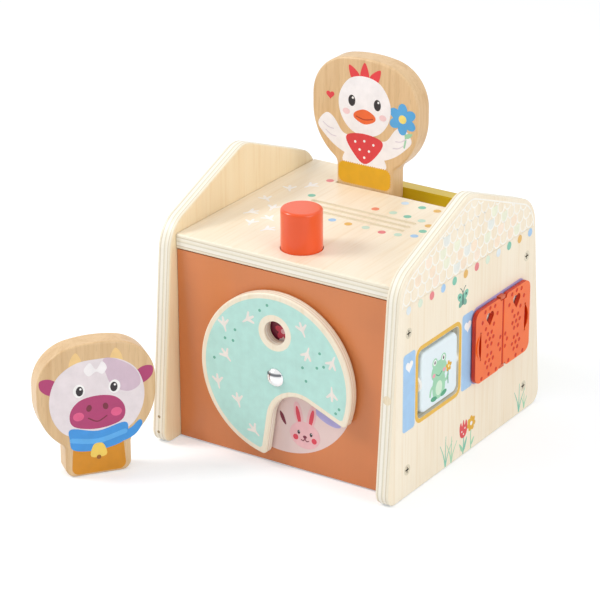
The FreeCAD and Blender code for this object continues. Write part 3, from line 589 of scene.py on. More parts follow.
# ---- finishes of the CAD nodes ----
def dress_wood():
    dress(plywood("ply_right", 0, panel_low[0] * MM, PLY_THICKNESS, 2), "right_side_panel")
    # the left panel takes the shaded copy of the ply face colours: painted shade
    left_ply = plywood("ply_left", 0, left_low[0] * MM, PLY_THICKNESS, 2, SHADED_PLY_FACE, SHADED_PLY_FACE_DARK)
    dress(left_ply, "left_side_panel")
    dress(plywood("ply_deck", 2, deck_low[2] * MM, PLY_THICKNESS, 1), "top_deck")
    dress(plywood("disc_ply", 1, disc_low[1] * MM, DISC_THICKNESS, 2), "picture_disc")
    figure_wood = solid_wood("figure_wood", srgb(224, 190, 144), srgb(204, 164, 114))
    dress(figure_wood, "slot_figure", "floor_figure")
    dress(solid_wood("plug_wood", srgb(240, 226, 196), srgb(226, 206, 170)), "axle_plug")
    raw = solid_wood("raw_wood", srgb(222, 190, 146), srgb(196, 160, 112), gloss=0.6, coat=0.0)
    dress(
        raw, "base_board", "slot_board", "left_guide_strip", "right_guide_strip", "button_guide",
        "left_lever_bracket", "right_lever_bracket", "pop_lever", "launcher_plate", "button_stem",
        "deck_and_base_dowels",
    )


def dress_painted():
    dress(lacquer("terracotta_paint", srgb(214, 128, 72), 2, 0.34, 0.25, 0.04), "front_panel")
    dress(lacquer("yellow_paint", srgb(220, 190, 14), 0, 0.36, 0.3, 0.04), "rear_panel")
    dress(lacquer("button_paint", srgb(236, 80, 4), 2, 0.28, 0.3, 0.03), "push_button")
    dress(lacquer("tile_paint", srgb(228, 242, 248), 2, 0.32, 0.4, 0.02), "spinner_tile")
    dress(lacquer("picture_card", srgb(234, 208, 204), 2, 0.38, 0.3, 0.02), "picture_plate")
    dress(lacquer("backing_card", srgb(248, 246, 242), 2, 0.4, 0.2, 0.02), "shutter_backing")


def dress_plastic_and_metal():
    dress(shutter_paint(SHUTTER_FACE * MM), "front_shutter", "rear_shutter")
    dress(moulded_plastic("lug_orange", srgb(214, 88, 30)), "shutter_lugs")
    dress(moulded_plastic("white_plastic", srgb(238, 238, 234), 0.4), "spinner_spacers", "disc_spacer")
    dress(moulded_plastic("washer_plastic", srgb(225, 225, 220), 0.45), "axle_washers")
    dress(screw_steel(SCREW_FACE * MM), "left_panel_screws", "right_panel_screws")
    zinc = metal("zinc_steel", srgb(176, 160, 134), 0.3)
    dress(zinc, "edge_pins", "axle_caps", "pivot_washer", "pivot_nut", "shutter_pins", "return_spring")
    dress(metal("rod_steel", srgb(190, 190, 190), 0.25, 1, 25.0), "spinner_rod")
    dress(metal("axle_steel", srgb(190, 190, 190), 0.25, 0, 25.0), "lever_axle")
    dress(domed_chrome(), "pivot_bolt")


def squeezed_spring():
    """The return spring as a piece of its own, a copy of the CAD spring attached to the house, its foot on
    the guide block.
    """
    coil = added("return_spring_coil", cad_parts["return_spring"].data.copy())
    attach(coil, "house")
    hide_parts("return_spring")
    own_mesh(coil)


# ---- prints on the side panels ----
SHOULDER = (84.0, 147.5)             # (y, z) where a side panel's edge turns into its gable
SHOULDER_RADIUS, APEX_RADIUS = 24, 20
APEX_Z = 180.0
FOOT_HALF = 97.0                     # half of the panel's width at its foot
ROOF_BOTTOM = 130.5                  # lower edge of the printed roof


def roof_line(inset):
    """Corner points of the gable above the dots, inset from its edges: (y, z, radius)."""
    slope = math.atan2(APEX_Z - SHOULDER[1], SHOULDER[0])
    apex = APEX_Z - inset / math.cos(slope)
    lean = math.atan2(FOOT_HALF - SHOULDER[0], SHOULDER[1])
    shoulder_y = SHOULDER[0] - inset / math.cos(lean)
    turn_z = apex - math.tan(slope) * shoulder_y
    bottom_y = shoulder_y + math.tan(lean) * (turn_z - ROOF_BOTTOM)
    return [
        (-bottom_y, ROOF_BOTTOM, 0), (bottom_y, ROOF_BOTTOM, 0),
        (shoulder_y, turn_z, SHOULDER_RADIUS - inset), (0, apex, APEX_RADIUS - inset),
        (-shoulder_y, turn_z, SHOULDER_RADIUS - inset),
    ]


def within(point, outline):
    """Whether a point lies inside a closed outline."""
    u, v = point
    inside = False
    for (u0, v0), (u1, v1) in zip(outline, outline[1:] + outline[:1]):
        if (v0 > v) != (v1 > v) and u < u0 + (v - v0) * (u1 - u0) / (v1 - v0):
            inside = not inside
    return inside


def roof_tiles(sheet, seed):
    """Rows of soft white U-shaped scale outlines under the gable, with a few tinted ones."""
    chance = random.Random(seed)
    outline = rounded(roof_line(4.2))
    pitch, row_pitch, first_row, rows, columns = 8.5, 7.5, 131.0, 7, 11
    round_from, round_depth = 4.6, 4.3
    tints = ((250, 230, 206), (238, 240, 216), (232, 236, 230), (250, 232, 212))
    for row in range(rows):
        bottom = first_row + row * row_pitch
        shift = pitch / 2 if row % 2 else 0.0
        tinted_share = 0.45 if row < 2 else 0.25
        for column in range(-columns, columns + 1):
            u = column * pitch + shift
            scale_points = [(u - pitch / 2, bottom + row_pitch)]
            for step in range(9):
                angle = math.pi + math.pi * step / 8
                place_v = bottom + round_from + round_depth * math.sin(angle)
                scale_points.append((u + pitch / 2 * math.cos(angle), place_v))
            scale_points.append((u + pitch / 2, bottom + row_pitch))
            whole = all(within(point, outline) for point in scale_points)
            if chance.random() < tinted_share and whole:
                sheet.fill(scale_points, chance.choice(tints))
            for run in inner_runs(scale_points, outline):
                sheet.stroke(run, 1.0, SCALE_WHITE, 1, curved=False)


def inner_runs(points, outline):
    """Stretches of a path that lie inside an outline."""
    runs = [[]]
    for point in points:
        if within(point, outline):
            runs[-1].append(point)
        else:
            runs.append([])
    return [run for run in runs if len(run) > 1]


DOT_COLOURS = (
    FAINT_SKY, FAINT_GREEN, ROSE, SKY, TEAL, AMBER, ROSE, FAINT_GREEN, FAINT_SKY, TEAL, AMBER, SKY,
)


def gable_print(sheet, seed, mirror):
    """Edge line, roof tiles, and the row of dots below them."""
    sheet.band(rounded(roof_line(3.0)), rounded(roof_line(4.0)), SCALE_WHITE, 1)
    roof_tiles(sheet, seed)
    start, pitch, height = -74.6, 13.83, 127.3
    for index, colour in enumerate(DOT_COLOURS):
        sheet.fill(oval(mirror * (start + pitch * index), height, 2.7, 2.8, count=24), colour, 1)


def painted_leaf(sheet, low, high, bottom, top):
    """Open window shutter with a heart near its top."""
    sheet.fill(panel_outline(low, high, bottom, top, 2.4), SKY)
    sheet.fill(moved(heart_outline(8.6), (low + high) / 2, top - 9.2), WHITE, 1)


def ring(sheet, outer, width, colour, layer):
    """Frame of that width inside a rounded box (low u, high u, low v, high v, corner)."""
    u0, u1, v0, v1, corner = outer
    inner = panel_outline(u0 + width, u1 - width, v0 + width, v1 - width, corner - width)
    sheet.band(panel_outline(u0, u1, v0, v1, corner), inner, colour, layer)


def right_panel_print():
    """Roof tiles, dots, window frame with open painted shutters, butterfly, grass and flowers."""
    sheet = Print("right_panel_print", X * panel_high[0] * MM, Y, Z)
    gable_print(sheet, 11, 1)
    ring(sheet, (-65.3, -9.5, 45.7, 98.0, 6.6), 2.8, FRAME_AMBER, 1)
    painted_leaf(sheet, -80.2, -65.8, 46.0, 98.6)
    painted_leaf(sheet, -8.6, 5.4, 46.4, 99.2)
    ring(sheet, (2.6, 72.4, 45.6, 99.1, 7.5), 4.0, LILAC, 0)
    butterfly(sheet, -8.5, 111.3, TEAL)
    grass(sheet, -27.0, 1.6, 21, TEAL)
    grass(sheet, -19.6, 1.6, 18, GREEN)
    grass(sheet, 68.8, 2.4, 20, TEAL)
    grass(sheet, 75.8, 2.6, 10, GREEN)
    tulip(sheet, -4.5, 1.8, 21.0, 1.45, RED)
    daisy(sheet, 5.5, 1.8)
    sheet.build("house")


def left_panel_print():
    """The plainer side: roof tiles, dots, a painted window and flowers."""
    sheet = Print("left_panel_print", X * left_low[0] * MM, -Y, Z)
    gable_print(sheet, 5, -1)
    sheet.fill(panel_outline(-22.0, 22.0, 48.0, 92.0, 5.0), (222, 240, 250))
    ring(sheet, (-24.0, 24.0, 46.0, 94.0, 6.4), 2.5, FRAME_AMBER, 1)
    sheet.stroke([(0, 48.0), (0, 92.0)], 2.2, FRAME_AMBER, 1)
    sheet.stroke([(-22.0, 70.0), (22.0, 70.0)], 2.2, FRAME_AMBER, 1)
    painted_leaf(sheet, -39.4, -25.0, 46.0, 94.0)
    painted_leaf(sheet, 25.0, 39.4, 46.0, 94.0)
    grass(sheet, -62, 2.0, 21, TEAL)
    grass(sheet, -52, 2.0, 14, GREEN)
    grass(sheet, 38, 2.0, 20, TEAL)
    grass(sheet, 66, 2.5, 15, GREEN)
    tulip(sheet, -12.0, 2.0, 21.0, 1.45, RED)
    daisy(sheet, -1.0, 2.0)
    tulip(sheet, 54.0, 2.0, 17.0, 1.2, LILAC)
    butterfly(sheet, 48.0, 106.0, ROSE)
    sheet.build("house")


def butterfly(sheet, u, v, colour):
    def placed(points):
        return moved(points, u, v, scale=1.35)

    wing_spot = (40, 90, 84)
    lower_colour = tuple(int(channel * 0.86) for channel in colour)
    for side in (-1, 1):
        sheet.fill(placed(oval(side * 2.4, 1.5, 2.9, 1.9, side * 38, 20)), colour, 1)
        sheet.fill(placed(oval(side * 1.8, -2.0, 2.0, 1.5, side * -35, 20)), lower_colour, 1)
        sheet.fill(placed(oval(side * 2.9, 1.8, 0.7, count=12)), wing_spot, 2)
        sheet.stroke(placed([(0, 3.0), (side * 1.2, 5.0), (side * 2.4, 6.0)]), 0.5, wing_spot, 2)
    sheet.fill(placed(oval(0, 0, 0.7, 3.2, count=16)), (60, 110, 100), 2)


def tulip(sheet, u, v, height, scale, colour):
    sheet.stroke([(u, v), (u + 0.6, v + height * 0.4), (u, v + height * 0.72)], 1.1, TEAL)
    sheet.leaf(u, v + 1, height * 0.5, 2.6, 62, TEAL)
    sheet.leaf(u, v + 1, height * 0.42, 2.4, 124, GREEN)
    cup = [
        (-3.4, 1.5), (-2.6, -2.6), (0, -4.0), (2.6, -2.6), (3.4, 1.5), (2.2, 4.2), (1.1, 1.8), (0, 4.8),
        (-1.1, 1.8), (-2.2, 4.2),
    ]
    middle = v + height * 0.8
    sheet.fill(moved(smooth(cup, 4), u, middle, 0, scale), colour, 1)
    for a, b in ((-1.4, -0.6), (1.3, 0.4), (0.1, -2.2)):
        sheet.fill(oval(u + a * scale, middle + b * scale, 0.45 * scale, count=10), WHITE, 2)


def daisy(sheet, u, v):
    height = 15.5
    sheet.stroke([(u, v), (u - 0.5, v + height * 0.5), (u, v + height)], 1.0, GREEN)
    sheet.leaf(u, v + 2, height * 0.4, 2.0, 48, GREEN)
    sheet.flower(u, v + height + 2.0, 5.25, MUSTARD, WHITE, 1, petals=7)


# ---- prints on the deck ----
def deck_print():
    """A ring of pastel dots round the grooves, a short row by the slot, and white bird tracks."""
    sheet = Print("deck_print", Z * deck_high[2] * MM, X, Y)
    dots = (
        (-44.0, 23.8, TEAL), (-48.5, 53.2, ROSE), (-9.1, -5.8, SKY), (3.2, -6.2, AMBER),
        (15.9, -5.3, PALE_MINT), (28.7, -6.6, ROSE), (39.6, -4.8, PALE_MINT), (49.5, -1.1, SKY),
        (49.9, 8.6, TEAL), (48.3, 18.7, AMBER), (40.0, 23.8, PALE_MINT), (28.5, 25.2, TEAL),
        (17.2, 26.1, PALE_MINT), (4.0, 25.6, (238, 140, 110)), (15.0, 44.6, PALE_SKY),
        (28.4, 43.8, TEAL), (39.8, 43.8, AMBER),
    )
    for u, v, colour in dots:
        sheet.fill(oval(u, v, 2.6, count=24), colour, 1)
    tracks = (
        (-63.5, 27.0, 30), (-54.5, 39.0, -20), (-66.0, 3.0, 50), (-53.5, -8.0, 10),
        (-61.0, -22.0, -35), (-45.0, -25.0, 60), (-51.0, -37.0, 15), (-35.5, -41.0, -25),
    )
    for u, v, turn in tracks:
        bird_track(sheet, u, v, turn, 10.5, WHITE)
    sheet.build("house")


# ---- the picture disc ----
NOTCH_APEX = (0.8, -2.2)
NOTCH_ANGLES = (-98.8, -22.1)
NOTCH_TIP_RADIUS = 20.0
PEEP_HOLE_V = 30.6
PEEP_RING_RADIUS = 12.2              # of the bare ring round the peep hole
BARE_BORDER = 3.6


def disc_outline(inset):
    """Edge of the disc's face with its wedge notch, inset from it; (0, 0) is the pivot."""
    radius = DISC_RADIUS - inset
    left, right = [math.radians(angle) for angle in NOTCH_ANGLES]
    middle, opening = (left + right) / 2, (right - left) / 2
    tip = Vector(NOTCH_APEX) - Vector((math.cos(middle), math.sin(middle))) * inset / math.sin(opening)
    ends = []
    for angle in (left, right):
        ray = Vector((math.cos(angle), math.sin(angle)))
        along = tip.dot(ray)
        ends.append(tip + ray * (math.sqrt(along ** 2 - tip.length_squared + radius ** 2) - along))
    start = math.atan2(ends[1].y, ends[1].x)
    end = math.atan2(ends[0].y, ends[0].x) + 2 * math.pi
    trim = 1.4 / radius          # angle left free for the round corners at the notch
    steps, points = 96, []
    for index in range(steps + 1):
        angle = start + trim + (end - start - 2 * trim) * index / steps
        points.append((radius * math.cos(angle), radius * math.sin(angle)))
    notch = rounded([(*ends[0], 0), (*tip, NOTCH_TIP_RADIUS + inset), (*ends[1], 0)], 10)
    near = [tuple(corner.lerp(tip, 0.03)) for corner in ends]
    return points + [near[0]] + notch[1:-1] + [near[1]]


def disc_print():
    """Mint face inside a bare border, white bird tracks and green seeds."""
    sheet = Print("disc_print", (0, disc_low[1] * MM, PIVOT_Z * MM), X, Z)
    outline = disc_outline(BARE_BORDER)
    inner = []
    for u, v in outline:
        angle = math.atan2(v - PEEP_HOLE_V, u)
        inner.append((PEEP_RING_RADIUS * math.cos(angle), PEEP_HOLE_V + PEEP_RING_RADIUS * math.sin(angle)))
    sheet.band(outline, inner, MINT)
    tracks = (
        (-38.5, 28.0, 12), (-20.0, 35.8, -58), (20.5, 37.9, 20), (24.1, 21.8, 160), (42.6, 20.2, 155),
        (-37.3, 6.8, 40), (-43.8, -13.0, 8), (-28.5, -22.5, 12), (-16.4, -40.6, 45), (42.6, -1.0, 180),
    )
    for u, v, turn in tracks:
        bird_track(sheet, u, v, turn, 9.6, TRACK_WHITE)
    seeds = (
        (-5.6, 48.3), (-11.2, 43.6), (-30.1, 25.9), (-37.8, 18.5), (-31.7, 18.1), (-46.3, 2.9),
        (33.4, 24.7), (20.7, 12.0), (31.4, 14.4), (36.4, 16.3), (23.3, 3.4), (47.8, -10.0), (45.3, -13.4),
    )
    for u, v in seeds:
        sheet.fill(oval(u, v, 1.0, count=16), (110, 180, 160), 1)
    sheet.build("disc")


def bunny(sheet, u, v, size, fur, accent):
    """Round head with two long ears."""
    for side in (-1, 1):
        ear = oval(u + side * size * 0.42, v + size * 1.15, size * 0.27, size * 0.78, side * -12, 24)
        sheet.fill(ear, fur, 1)
        inner = oval(u + side * size * 0.43, v + size * 1.12, size * 0.13, size * 0.55, side * -12, 20)
        sheet.fill(inner, accent, 2)
    sheet.fill(oval(u, v, size * 0.98, size * 0.8), fur, 2)
    for side in (-1, 1):
        sheet.eye(u + side * size * 0.4, v + size * 0.12, size * 0.12, 3)
        sheet.fill(oval(u + side * size * 0.6, v - size * 0.22, size * 0.17, count=20), accent, 3)
    sheet.fill(oval(u, v - size * 0.1, size * 0.13, size * 0.09, count=16), MAROON, 3)
    for side in (-1, 1):
        mouth = [(0, -0.18), (side * 0.1, -0.34), (side * 0.24, -0.3)]
        sheet.stroke(moved(mouth, u, v, 0, size), size * 0.06, MAROON, 3)


def picture_print():
    """Pictures under the disc: one shows in the notch, others come as the disc turns."""
    sheet = Print("picture_print", (0, picture_low[1] * MM, PIVOT_Z * MM), X, Z)
    crescent = [(24, -19.5), (31, -18.0), (40, -20), (44, -26), (40, -28), (33, -26.6), (27, -23.5)]
    sheet.soft(crescent, LILAC)
    bunny(sheet, 17.0, -39.2, 11.6, (242, 190, 194), (224, 64, 84))
    leaf = [(-1.8, -26.5), (1.0, -29.0), (2.8, -35.0), (0.4, -33.6), (-1.6, -30.0)]
    sheet.soft(leaf, MAROON, 1, steps=5)
    sheet.soft([(-9, 24), (-3, 22), (0, 29), (-1, 37), (-8, 40), (-14, 34)], MAROON)
    sheet.flower(1.0, 29.0, 6.0, (206, 60, 84), PINK, 1)
    sheet.soft([(5, 22), (12, 25), (12, 35), (6, 39), (8, 30)], LILAC, 1, steps=5)
    sheet.soft([(-52, 6), (-40, 12), (-28, 6), (-24, -6), (-34, -14), (-48, -10)], SKY)
    sheet.flower(-38.0, -1.0, 11.0, MUSTARD, WHITE, 1, petals=8)
    sheet.soft([(26, 26), (38, 30), (46, 18), (44, 6), (32, 4), (24, 14)], GREEN)
    sheet.fill(moved(heart_outline(15.0), 35.0, 17.0), RED, 1)
    sheet.build("house")


# ---- the spinning tile ----
def tile_print():
    """A green frog holding a flower on one face, three flowers on the other."""
    middle_y = (tile_low[1] + tile_high[1]) / 2
    middle_z = (tile_low[2] + tile_high[2]) / 2
    sheet = Print("tile_front_print", (tile_high[0] * MM, middle_y * MM, middle_z * MM), Y, Z)
    u, v = -1.0, 2.0
    for side in (-1, 1):
        sheet.fill(oval(u + side * 5.2, v + 6.6, 3.2, 3.4, count=24), GREEN)
        sheet.fill(oval(u + side * 5.2, v + 7.0, 1.9, 2.0, count=20), WHITE, 1)
        sheet.eye(u + side * 5.2, v + 7.0, 1.2, 2)
    sheet.fill(oval(u, v, 9.4, 7.0), GREEN)
    body = [(-6, -4), (-7.6, -13), (-4.5, -18.5), (4.5, -18.5), (7.6, -13), (6, -4)]
    sheet.fill(moved(smooth(body, 6), u, v), GREEN)
    sheet.fill(oval(u, v - 12.0, 4.0, 5.0, count=24), (214, 240, 214), 1)
    for side in (-1, 1):
        sheet.fill(oval(u + side * 6.2, v - 1.6, 1.8, 1.4, count=18), (238, 158, 174), 1)
        sheet.fill(oval(u + side * 6.0, v - 17.6, 3.8, 1.7, side * 10, 20), DARK_GREEN, 1)
    sheet.stroke([(u - 3.4, v - 1.8), (u, v - 3.6), (u + 3.4, v - 1.8)], 0.7, DARK_GREEN, 1)
    sheet.stroke([(u + 6.0, v - 8.0), (u + 9.0, v - 9.5), (u + 11.0, v - 7.0)], 2.0, GREEN, 1)
    sheet.stroke([(u + 11.4, v - 13.0), (u + 11.0, v - 7.0), (u + 11.6, v - 3.0)], 0.8, DARK_GREEN, 2)
    sheet.flower(u + 11.8, v - 1.4, 3.6, MUSTARD, (250, 240, 180), 2)
    sheet.stroke([(u - 6.0, v - 8.0), (u - 9.5, v - 10.0), (u - 10.5, v - 14.0)], 2.0, GREEN, 1)
    sheet.build("tile")
    sheet = Print("tile_back_print", (tile_low[0] * MM, middle_y * MM, middle_z * MM), -Y, Z)
    for u, v, size, colour in ((-8.0, 6.0, 7.0, ROSE), (8.5, 2.0, 6.0, BLUE), (-1.0, -9.0, 5.5, MUSTARD)):
        sheet.stroke([(u, v - 1), (u * 0.7, (v - 20) / 2), (u * 0.4, -19.0)], 1.0, GREEN)
        sheet.flower(u, v, size, colour, WHITE, 1)
    sheet.leaf(-4.0, -17.0, 7.0, 3.0, 140, TEAL)
    sheet.leaf(3.5, -17.0, 7.0, 3.0, 40, TEAL)
    sheet.build("tile")


# ---- the figures ----
def duck(sheet, head_v):
    """White duck with a red kerchief, spread wings and a blue flower; head_v is its head's middle."""
    white = (248, 245, 248)
    body = [
        (-15, head_v - 41), (-14, head_v - 31), (-11, head_v - 22), (0, head_v - 18), (11, head_v - 22),
        (14, head_v - 31), (15, head_v - 41),
    ]
    sheet.soft(body, white)
    for side in (-1, 1):
        wing = [(9, -23), (17, -20), (24, -11), (30, -9), (36, -17), (31, -24), (22, -31), (12, -34)]
        sheet.soft(wing, white, 0, head_v, side)
        for a, b in ((32, -16), (30, -21)):
            feather = [(side * (a - back), head_v + b - drop) for back, drop in ((0, 0), (4, 2.6), (8, 3.2))]
            sheet.stroke(feather, 0.7, (222, 214, 226), 1)
    for lean, length in ((-34, 13.0), (0, 14.0), (34, 13.0)):
        sheet.leaf(lean * 0.14, head_v + 16.5, length, 7.0, 90 - lean, (228, 56, 62))
    head = [
        (0, 21), (12, 17.5), (19.4, 6), (18.6, -7), (11, -17), (0, -20), (-11, -17), (-18.6, -7),
        (-19.4, 6), (-12, 17.5),
    ]
    sheet.soft(head, white, 1, head_v)
    for side in (-1, 1):
        sheet.fill(oval(side * 9.8, head_v + 3.0, 2.7, 3.9, count=24), BLACK, 2)
        sheet.fill(oval(side * 9.8 + 0.8, head_v + 5.0, 0.8, count=14), WHITE, 3)
        sheet.fill(oval(side * 14.0, head_v - 5.0, 2.8, 2.1, count=20), (246, 210, 214), 2)
    bill = [(-7.4, -4.6), (0, -1.6), (7.4, -4.6), (7.8, -8.6), (0, -11.8), (-7.8, -8.6)]
    sheet.soft(bill, (238, 104, 44), 2, head_v)
    sheet.stroke([(-6.4, head_v - 7.2), (0, head_v - 8.6), (6.4, head_v - 7.2)], 0.7, (176, 52, 24), 3)
    kerchief = [(-13.5, -21.5), (0, -18.5), (13.5, -21.5), (11, -30), (0, -39.5), (-11, -30)]
    sheet.soft(kerchief, RED, 2, head_v)
    for a, b in ((-7, -25), (0, -23.5), (7, -25), (-3.6, -30), (3.6, -30), (0, -35)):
        sheet.fill(oval(a, head_v + b, 0.9, count=14), WHITE, 3)
    sheet.stroke([(30.5, head_v - 22), (31.5, head_v - 15), (29.5, head_v - 8)], 1.3, GREEN, 1)
    sheet.leaf(31.0, head_v - 15.0, 6.5, 3.2, 30, GREEN, 1)
    sheet.flower(29.0, head_v - 3.0, 10.4, (84, 170, 230), (250, 226, 120), 1, petals=6)
    sheet.fill(moved(heart_outline(6.2), -26.5, head_v + 4.0), RED, 1)


BAND = (-20.6, 20.6, 11.4, 27.2, 5.0)        # low u, high u, low v, high v, corner
BAND_TEETH = 62
TOOTH_DEPTH = 0.9


def toothed_band(sheet):
    """Band across the figure's foot, its corners round and its edge finely toothed."""
    plain = [Vector(point) for point in panel_outline(*BAND)]
    edges = list(zip(plain, plain[1:] + plain[:1]))
    perimeter = sum((end - start).length for start, end in edges)
    toothed = []
    for step in range(2 * BAND_TEETH):
        along = perimeter * step / (2 * BAND_TEETH)
        for start, end in edges:
            length = (end - start).length
            if along < length:
                break
            along -= length
        ahead = (end - start).normalized()
        inward = Vector((-ahead.y, ahead.x)) * (TOOTH_DEPTH if step % 2 else 0.0)
        toothed.append(tuple(start + ahead * along + inward))
    sheet.fill(toothed, MUSTARD, 1)


def slot_figure_print():
    base = slot_figure_low[2]
    middle = (slot_figure_low[0] + slot_figure_high[0]) / 2
    sheet = Print("slot_figure_print", (middle * MM, slot_figure_low[1] * MM, base * MM), X, Z)
    duck(sheet, head_v=67.0)
    toothed_band(sheet)
    sheet.build("slot_figure")
    sheet = Print("slot_figure_back_print", (middle * MM, slot_figure_high[1] * MM, base * MM), -X, Z)
    toothed_band(sheet)
    sheet.fill(moved(heart_outline(20.0), 0, 64.0), RED)
    sheet.build("slot_figure")


FOOT_CORNERS = ((-18.0, 1.6, 4.5), (18.0, 1.6, 4.5), (16.4, 24, 5), (-16.4, 24, 5))
FOOT_ORANGE = (216, 142, 12)
SCARF_BLUE = (62, 152, 228)


def cow(sheet, head_v):
    """Pale cow with plum muzzle and ears, a blue neckerchief with a bell, and an orange foot."""
    plum, pale = (178, 58, 112), (236, 226, 230)
    sheet.fill(rounded(FOOT_CORNERS), FOOT_ORANGE)
    for side in (-1, 1):
        ear = [(24, 12), (30, 17), (36.6, 16.5), (36.4, 10.5), (31, 6), (25, 6)]
        sheet.soft(ear, plum, 0, head_v, side)
        horn = [(10, 21), (9.5, 27), (13, 32.5), (17, 27), (17, 20)]
        sheet.soft(horn, (244, 206, 140), 0, head_v, side)
    head = [
        (0, 26.5), (14, 25), (26, 16.5), (31, 2), (28.5, -13), (19, -24), (0, -27), (-19, -24),
        (-28.5, -13), (-31, 2), (-26, 16.5), (-14, 25),
    ]
    sheet.soft(head, pale, 1, head_v)
    patch = [(5, 26.0), (15, 24.0), (25.5, 16), (28.6, 6), (21, 1.5), (11, 6), (6.5, 15)]
    sheet.soft(patch, (214, 190, 206), 2, head_v)
    curl = [(-8, 20), (-4, 24.5), (0, 19.5), (4, 24.5), (7, 20), (4, 16), (0, 18), (-5, 15.5)]
    sheet.soft(curl, (250, 246, 248), 3, head_v)
    muzzle = [(0, 1.5), (12, -1), (18, -9), (15.5, -18), (0, -21.5), (-15.5, -18), (-18, -9), (-12, -1)]
    sheet.soft(muzzle, plum, 2, head_v)
    for side in (-1, 1):
        sheet.fill(oval(side * 11.6, head_v + 6.2, 3.9, 4.6, count=24), WHITE, 4)
        sheet.eye(side * 11.2, head_v + 6.0, 3.3, 5)
        sheet.fill(oval(side * 5.4, head_v - 6.6, 1.8, 2.4, side * 14, 20), MAROON, 3)
        sheet.fill(oval(side * 12.4, head_v - 11.5, 3.6, 3.0, count=24), (228, 92, 140), 3)
    smile = [(-6.0, -13.4), (0, -16.4), (6.0, -13.4)]
    sheet.stroke(moved(smile, 0, head_v), 0.9, MAROON, 3)
    scarf = [
        (-17.5, -19.5), (0, -23.0), (17.5, -19.5), (19.5, -26), (16, -33), (0, -36.5), (-16, -34.5),
        (-18.5, -27),
    ]
    sheet.soft(scarf, SCARF_BLUE, 4, head_v)
    tail = [(15, -27), (22, -24), (27.5, -19.5), (29, -23), (24, -29.5), (16, -32.5)]
    sheet.soft(tail, SCARF_BLUE, 3, head_v)
    fold = [(-17.0, -27.5), (0, -30.0), (17.5, -26.0)]
    sheet.stroke(moved(fold, 0, head_v), 3.4, (92, 178, 244), 5)
    bell = [(-3.6, 0), (-5.0, -7.6), (5.0, -7.6), (3.6, 0), (0, 1.6)]
    sheet.soft(bell, (248, 212, 96), 6, head_v - 33.0, steps=4)
    sheet.fill(oval(0, head_v - 41.4, 1.5, count=16), (160, 96, 24), 7)


def floor_figure_print():
    right = Vector((math.cos(FIGURE_TURN), math.sin(FIGURE_TURN), 0))
    normal = right.cross(Z)
    middle = Vector((*FIGURE_PLACE, 0))
    sheet = Print("floor_figure_print", (middle + normal * FIGURE_THICKNESS / 2) * MM, right, Z)
    cow(sheet, head_v=53.5)
    sheet.build("floor_figure")
    sheet = Print("floor_figure_back_print", (middle - normal * FIGURE_THICKNESS / 2) * MM, -right, Z)
    sheet.fill(moved(heart_outline(20.0), 0, 54.0), PLUM)
    sheet.fill(rounded(FOOT_CORNERS), FOOT_ORANGE)
    sheet.build("floor_figure")


# ---- floor, light and camera ----
def seen_factor(tree):
    """1 for what the camera sees, directly or in a reflection, and 0 for what lights the object."""
    path = tree.nodes.new("ShaderNodeLightPath")
    seen = path.outputs["Is Camera Ray"]
    for kind in ("Is Glossy Ray", "Is Transmission Ray"):
        either = tree.nodes.new("ShaderNodeMath")
        either.operation = "MAXIMUM"
        tree.links.new(seen, either.inputs[0])
        tree.links.new(path.outputs[kind], either.inputs[1])
        seen = either.outputs[0]
    return seen


SKY_LIGHT, SKY_SEEN = 0.60, 1.0      # what lights the object, and what the camera sees
LAMP_TARGET = Vector((0.0, -0.02, 0.07))
LAMPS = (
    # name, place, size, power, colour
    ("key", (-1.05, -0.66, 1.10), 0.55, 11.2, (1.0, 0.99, 0.97)),
    ("fill", (1.45, -0.34, 0.72), 0.9, 7.8, (1.0, 0.985, 0.960)),
    ("top", (0.1, 0.3, 1.5), 1.2, 3.4, (1.0, 1.0, 1.0)),
)


def studio():
    """White world and three soft lamps."""
    world = bpy.data.worlds.new("studio")
    bpy.context.scene.world = world
    world.use_nodes = True
    tree = world.node_tree
    background = tree.nodes["Background"]
    strength = tree.nodes.new("ShaderNodeMapRange")
    strength.inputs["To Min"].default_value = SKY_LIGHT
    strength.inputs["To Max"].default_value = SKY_SEEN
    tree.links.new(seen_factor(tree), strength.inputs["Value"])
    tree.links.new(strength.outputs["Result"], background.inputs["Strength"])
    background.inputs["Color"].default_value = (1.0, 1.0, 1.0, 1.0)

    for name, place, size, power, colour in LAMPS:
        light = bpy.data.lights.new(name, "AREA")
        light.shape = "SQUARE"
        light.size = size
        light.energy = power
        light.color = colour
        lamp = added(name, light)
        lamp.location = place
        lamp.rotation_euler = (LAMP_TARGET - Vector(place)).to_track_quat("-Z", "Y").to_euler()


FLOOR_REACH = 6.0
FLOOR_GAP = 0.1 * MM                 # below the part's underside
FLOOR_LIFT = 0.31
FLOOR_LIFT_TINT = (0.93, 1.0, 1.07, 1.0)


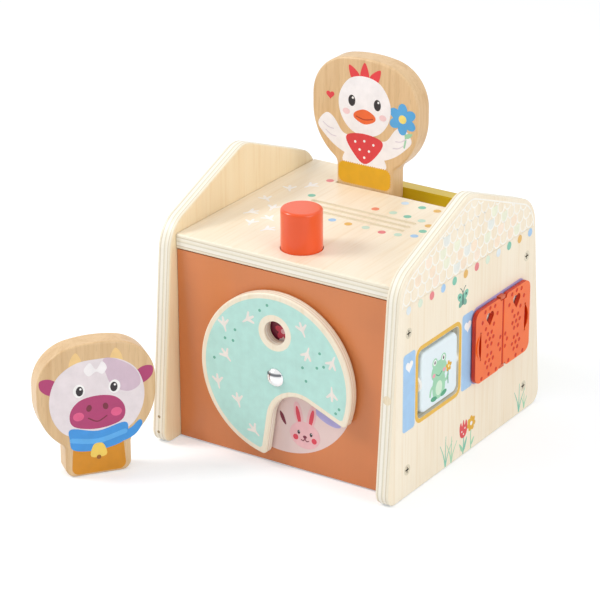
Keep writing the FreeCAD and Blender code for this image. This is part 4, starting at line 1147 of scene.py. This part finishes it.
def floor():
    """White sweep: its own tone lights the object, and the camera sees it lifted to white."""
    mesh = bpy.data.meshes.new("floor")
    plane = bmesh.new()
    height = cad_low[2] - FLOOR_GAP
    corners = ((-1, -1), (1, -1), (1, 1), (-1, 1))
    plane.faces.new([plane.verts.new((x * FLOOR_REACH, y * FLOOR_REACH, height)) for x, y in corners])
    plane.to_mesh(mesh)
    plane.free()
    sheet = added("floor", mesh)
    finish = Finish("floor_paper", Roughness=0.9)
    finish.shader.inputs["Specular IOR Level"].default_value = 0.1
    tones = (0.0, (0.80, 0.80, 0.81, 1)), (1.0, (0.83, 0.83, 0.83, 1))
    finish.paint(finish.ramp(finish.speckle(300.0, detail=2), *tones))
    finish.shader.inputs["Emission Color"].default_value = FLOOR_LIFT_TINT
    lift = finish.maths("MULTIPLY", seen_factor(finish.tree), FLOOR_LIFT)
    finish.plug(lift, finish.shader.inputs["Emission Strength"])
    mesh.materials.append(finish.material)


PHOTO_FOCAL_PX = 2873.0
PHOTO_SIZE_PX = 600.0
CAMERA_PLACE = Vector((913.74, -1451.47, 821.75)) * MM
CAMERA_TURN, CAMERA_PITCH, CAMERA_ROLL = [math.radians(angle) for angle in (33.25, 23.20, -0.22)]


def camera():
    data = bpy.data.cameras.new("camera")
    data.sensor_width = 36.0
    data.lens = data.sensor_width * PHOTO_FOCAL_PX / PHOTO_SIZE_PX
    data.clip_start, data.clip_end = 0.05, 50.0
    back = Vector((
        math.sin(CAMERA_TURN) * math.cos(CAMERA_PITCH), -math.cos(CAMERA_TURN) * math.cos(CAMERA_PITCH),
        math.sin(CAMERA_PITCH),
    ))
    right = Vector((math.cos(CAMERA_TURN), math.sin(CAMERA_TURN), 0))
    up = back.cross(right)
    level = Matrix((right, up, back)).transposed()
    turned = (level @ Matrix.Rotation(CAMERA_ROLL, 3, "Z")).to_4x4()
    piece = added("camera", data)
    piece.matrix_world = Matrix.Translation(CAMERA_PLACE) @ turned
    bpy.context.scene.camera = piece


# ---- the scene ----
camera()
dress_wood()
dress_painted()
dress_plastic_and_metal()
squeezed_spring()
right_panel_print()
left_panel_print()
deck_print()
disc_print()
picture_print()
tile_print()
slot_figure_print()
floor_figure_print()
studio()
floor()
bpy.context.scene.view_settings.view_transform = "Standard"
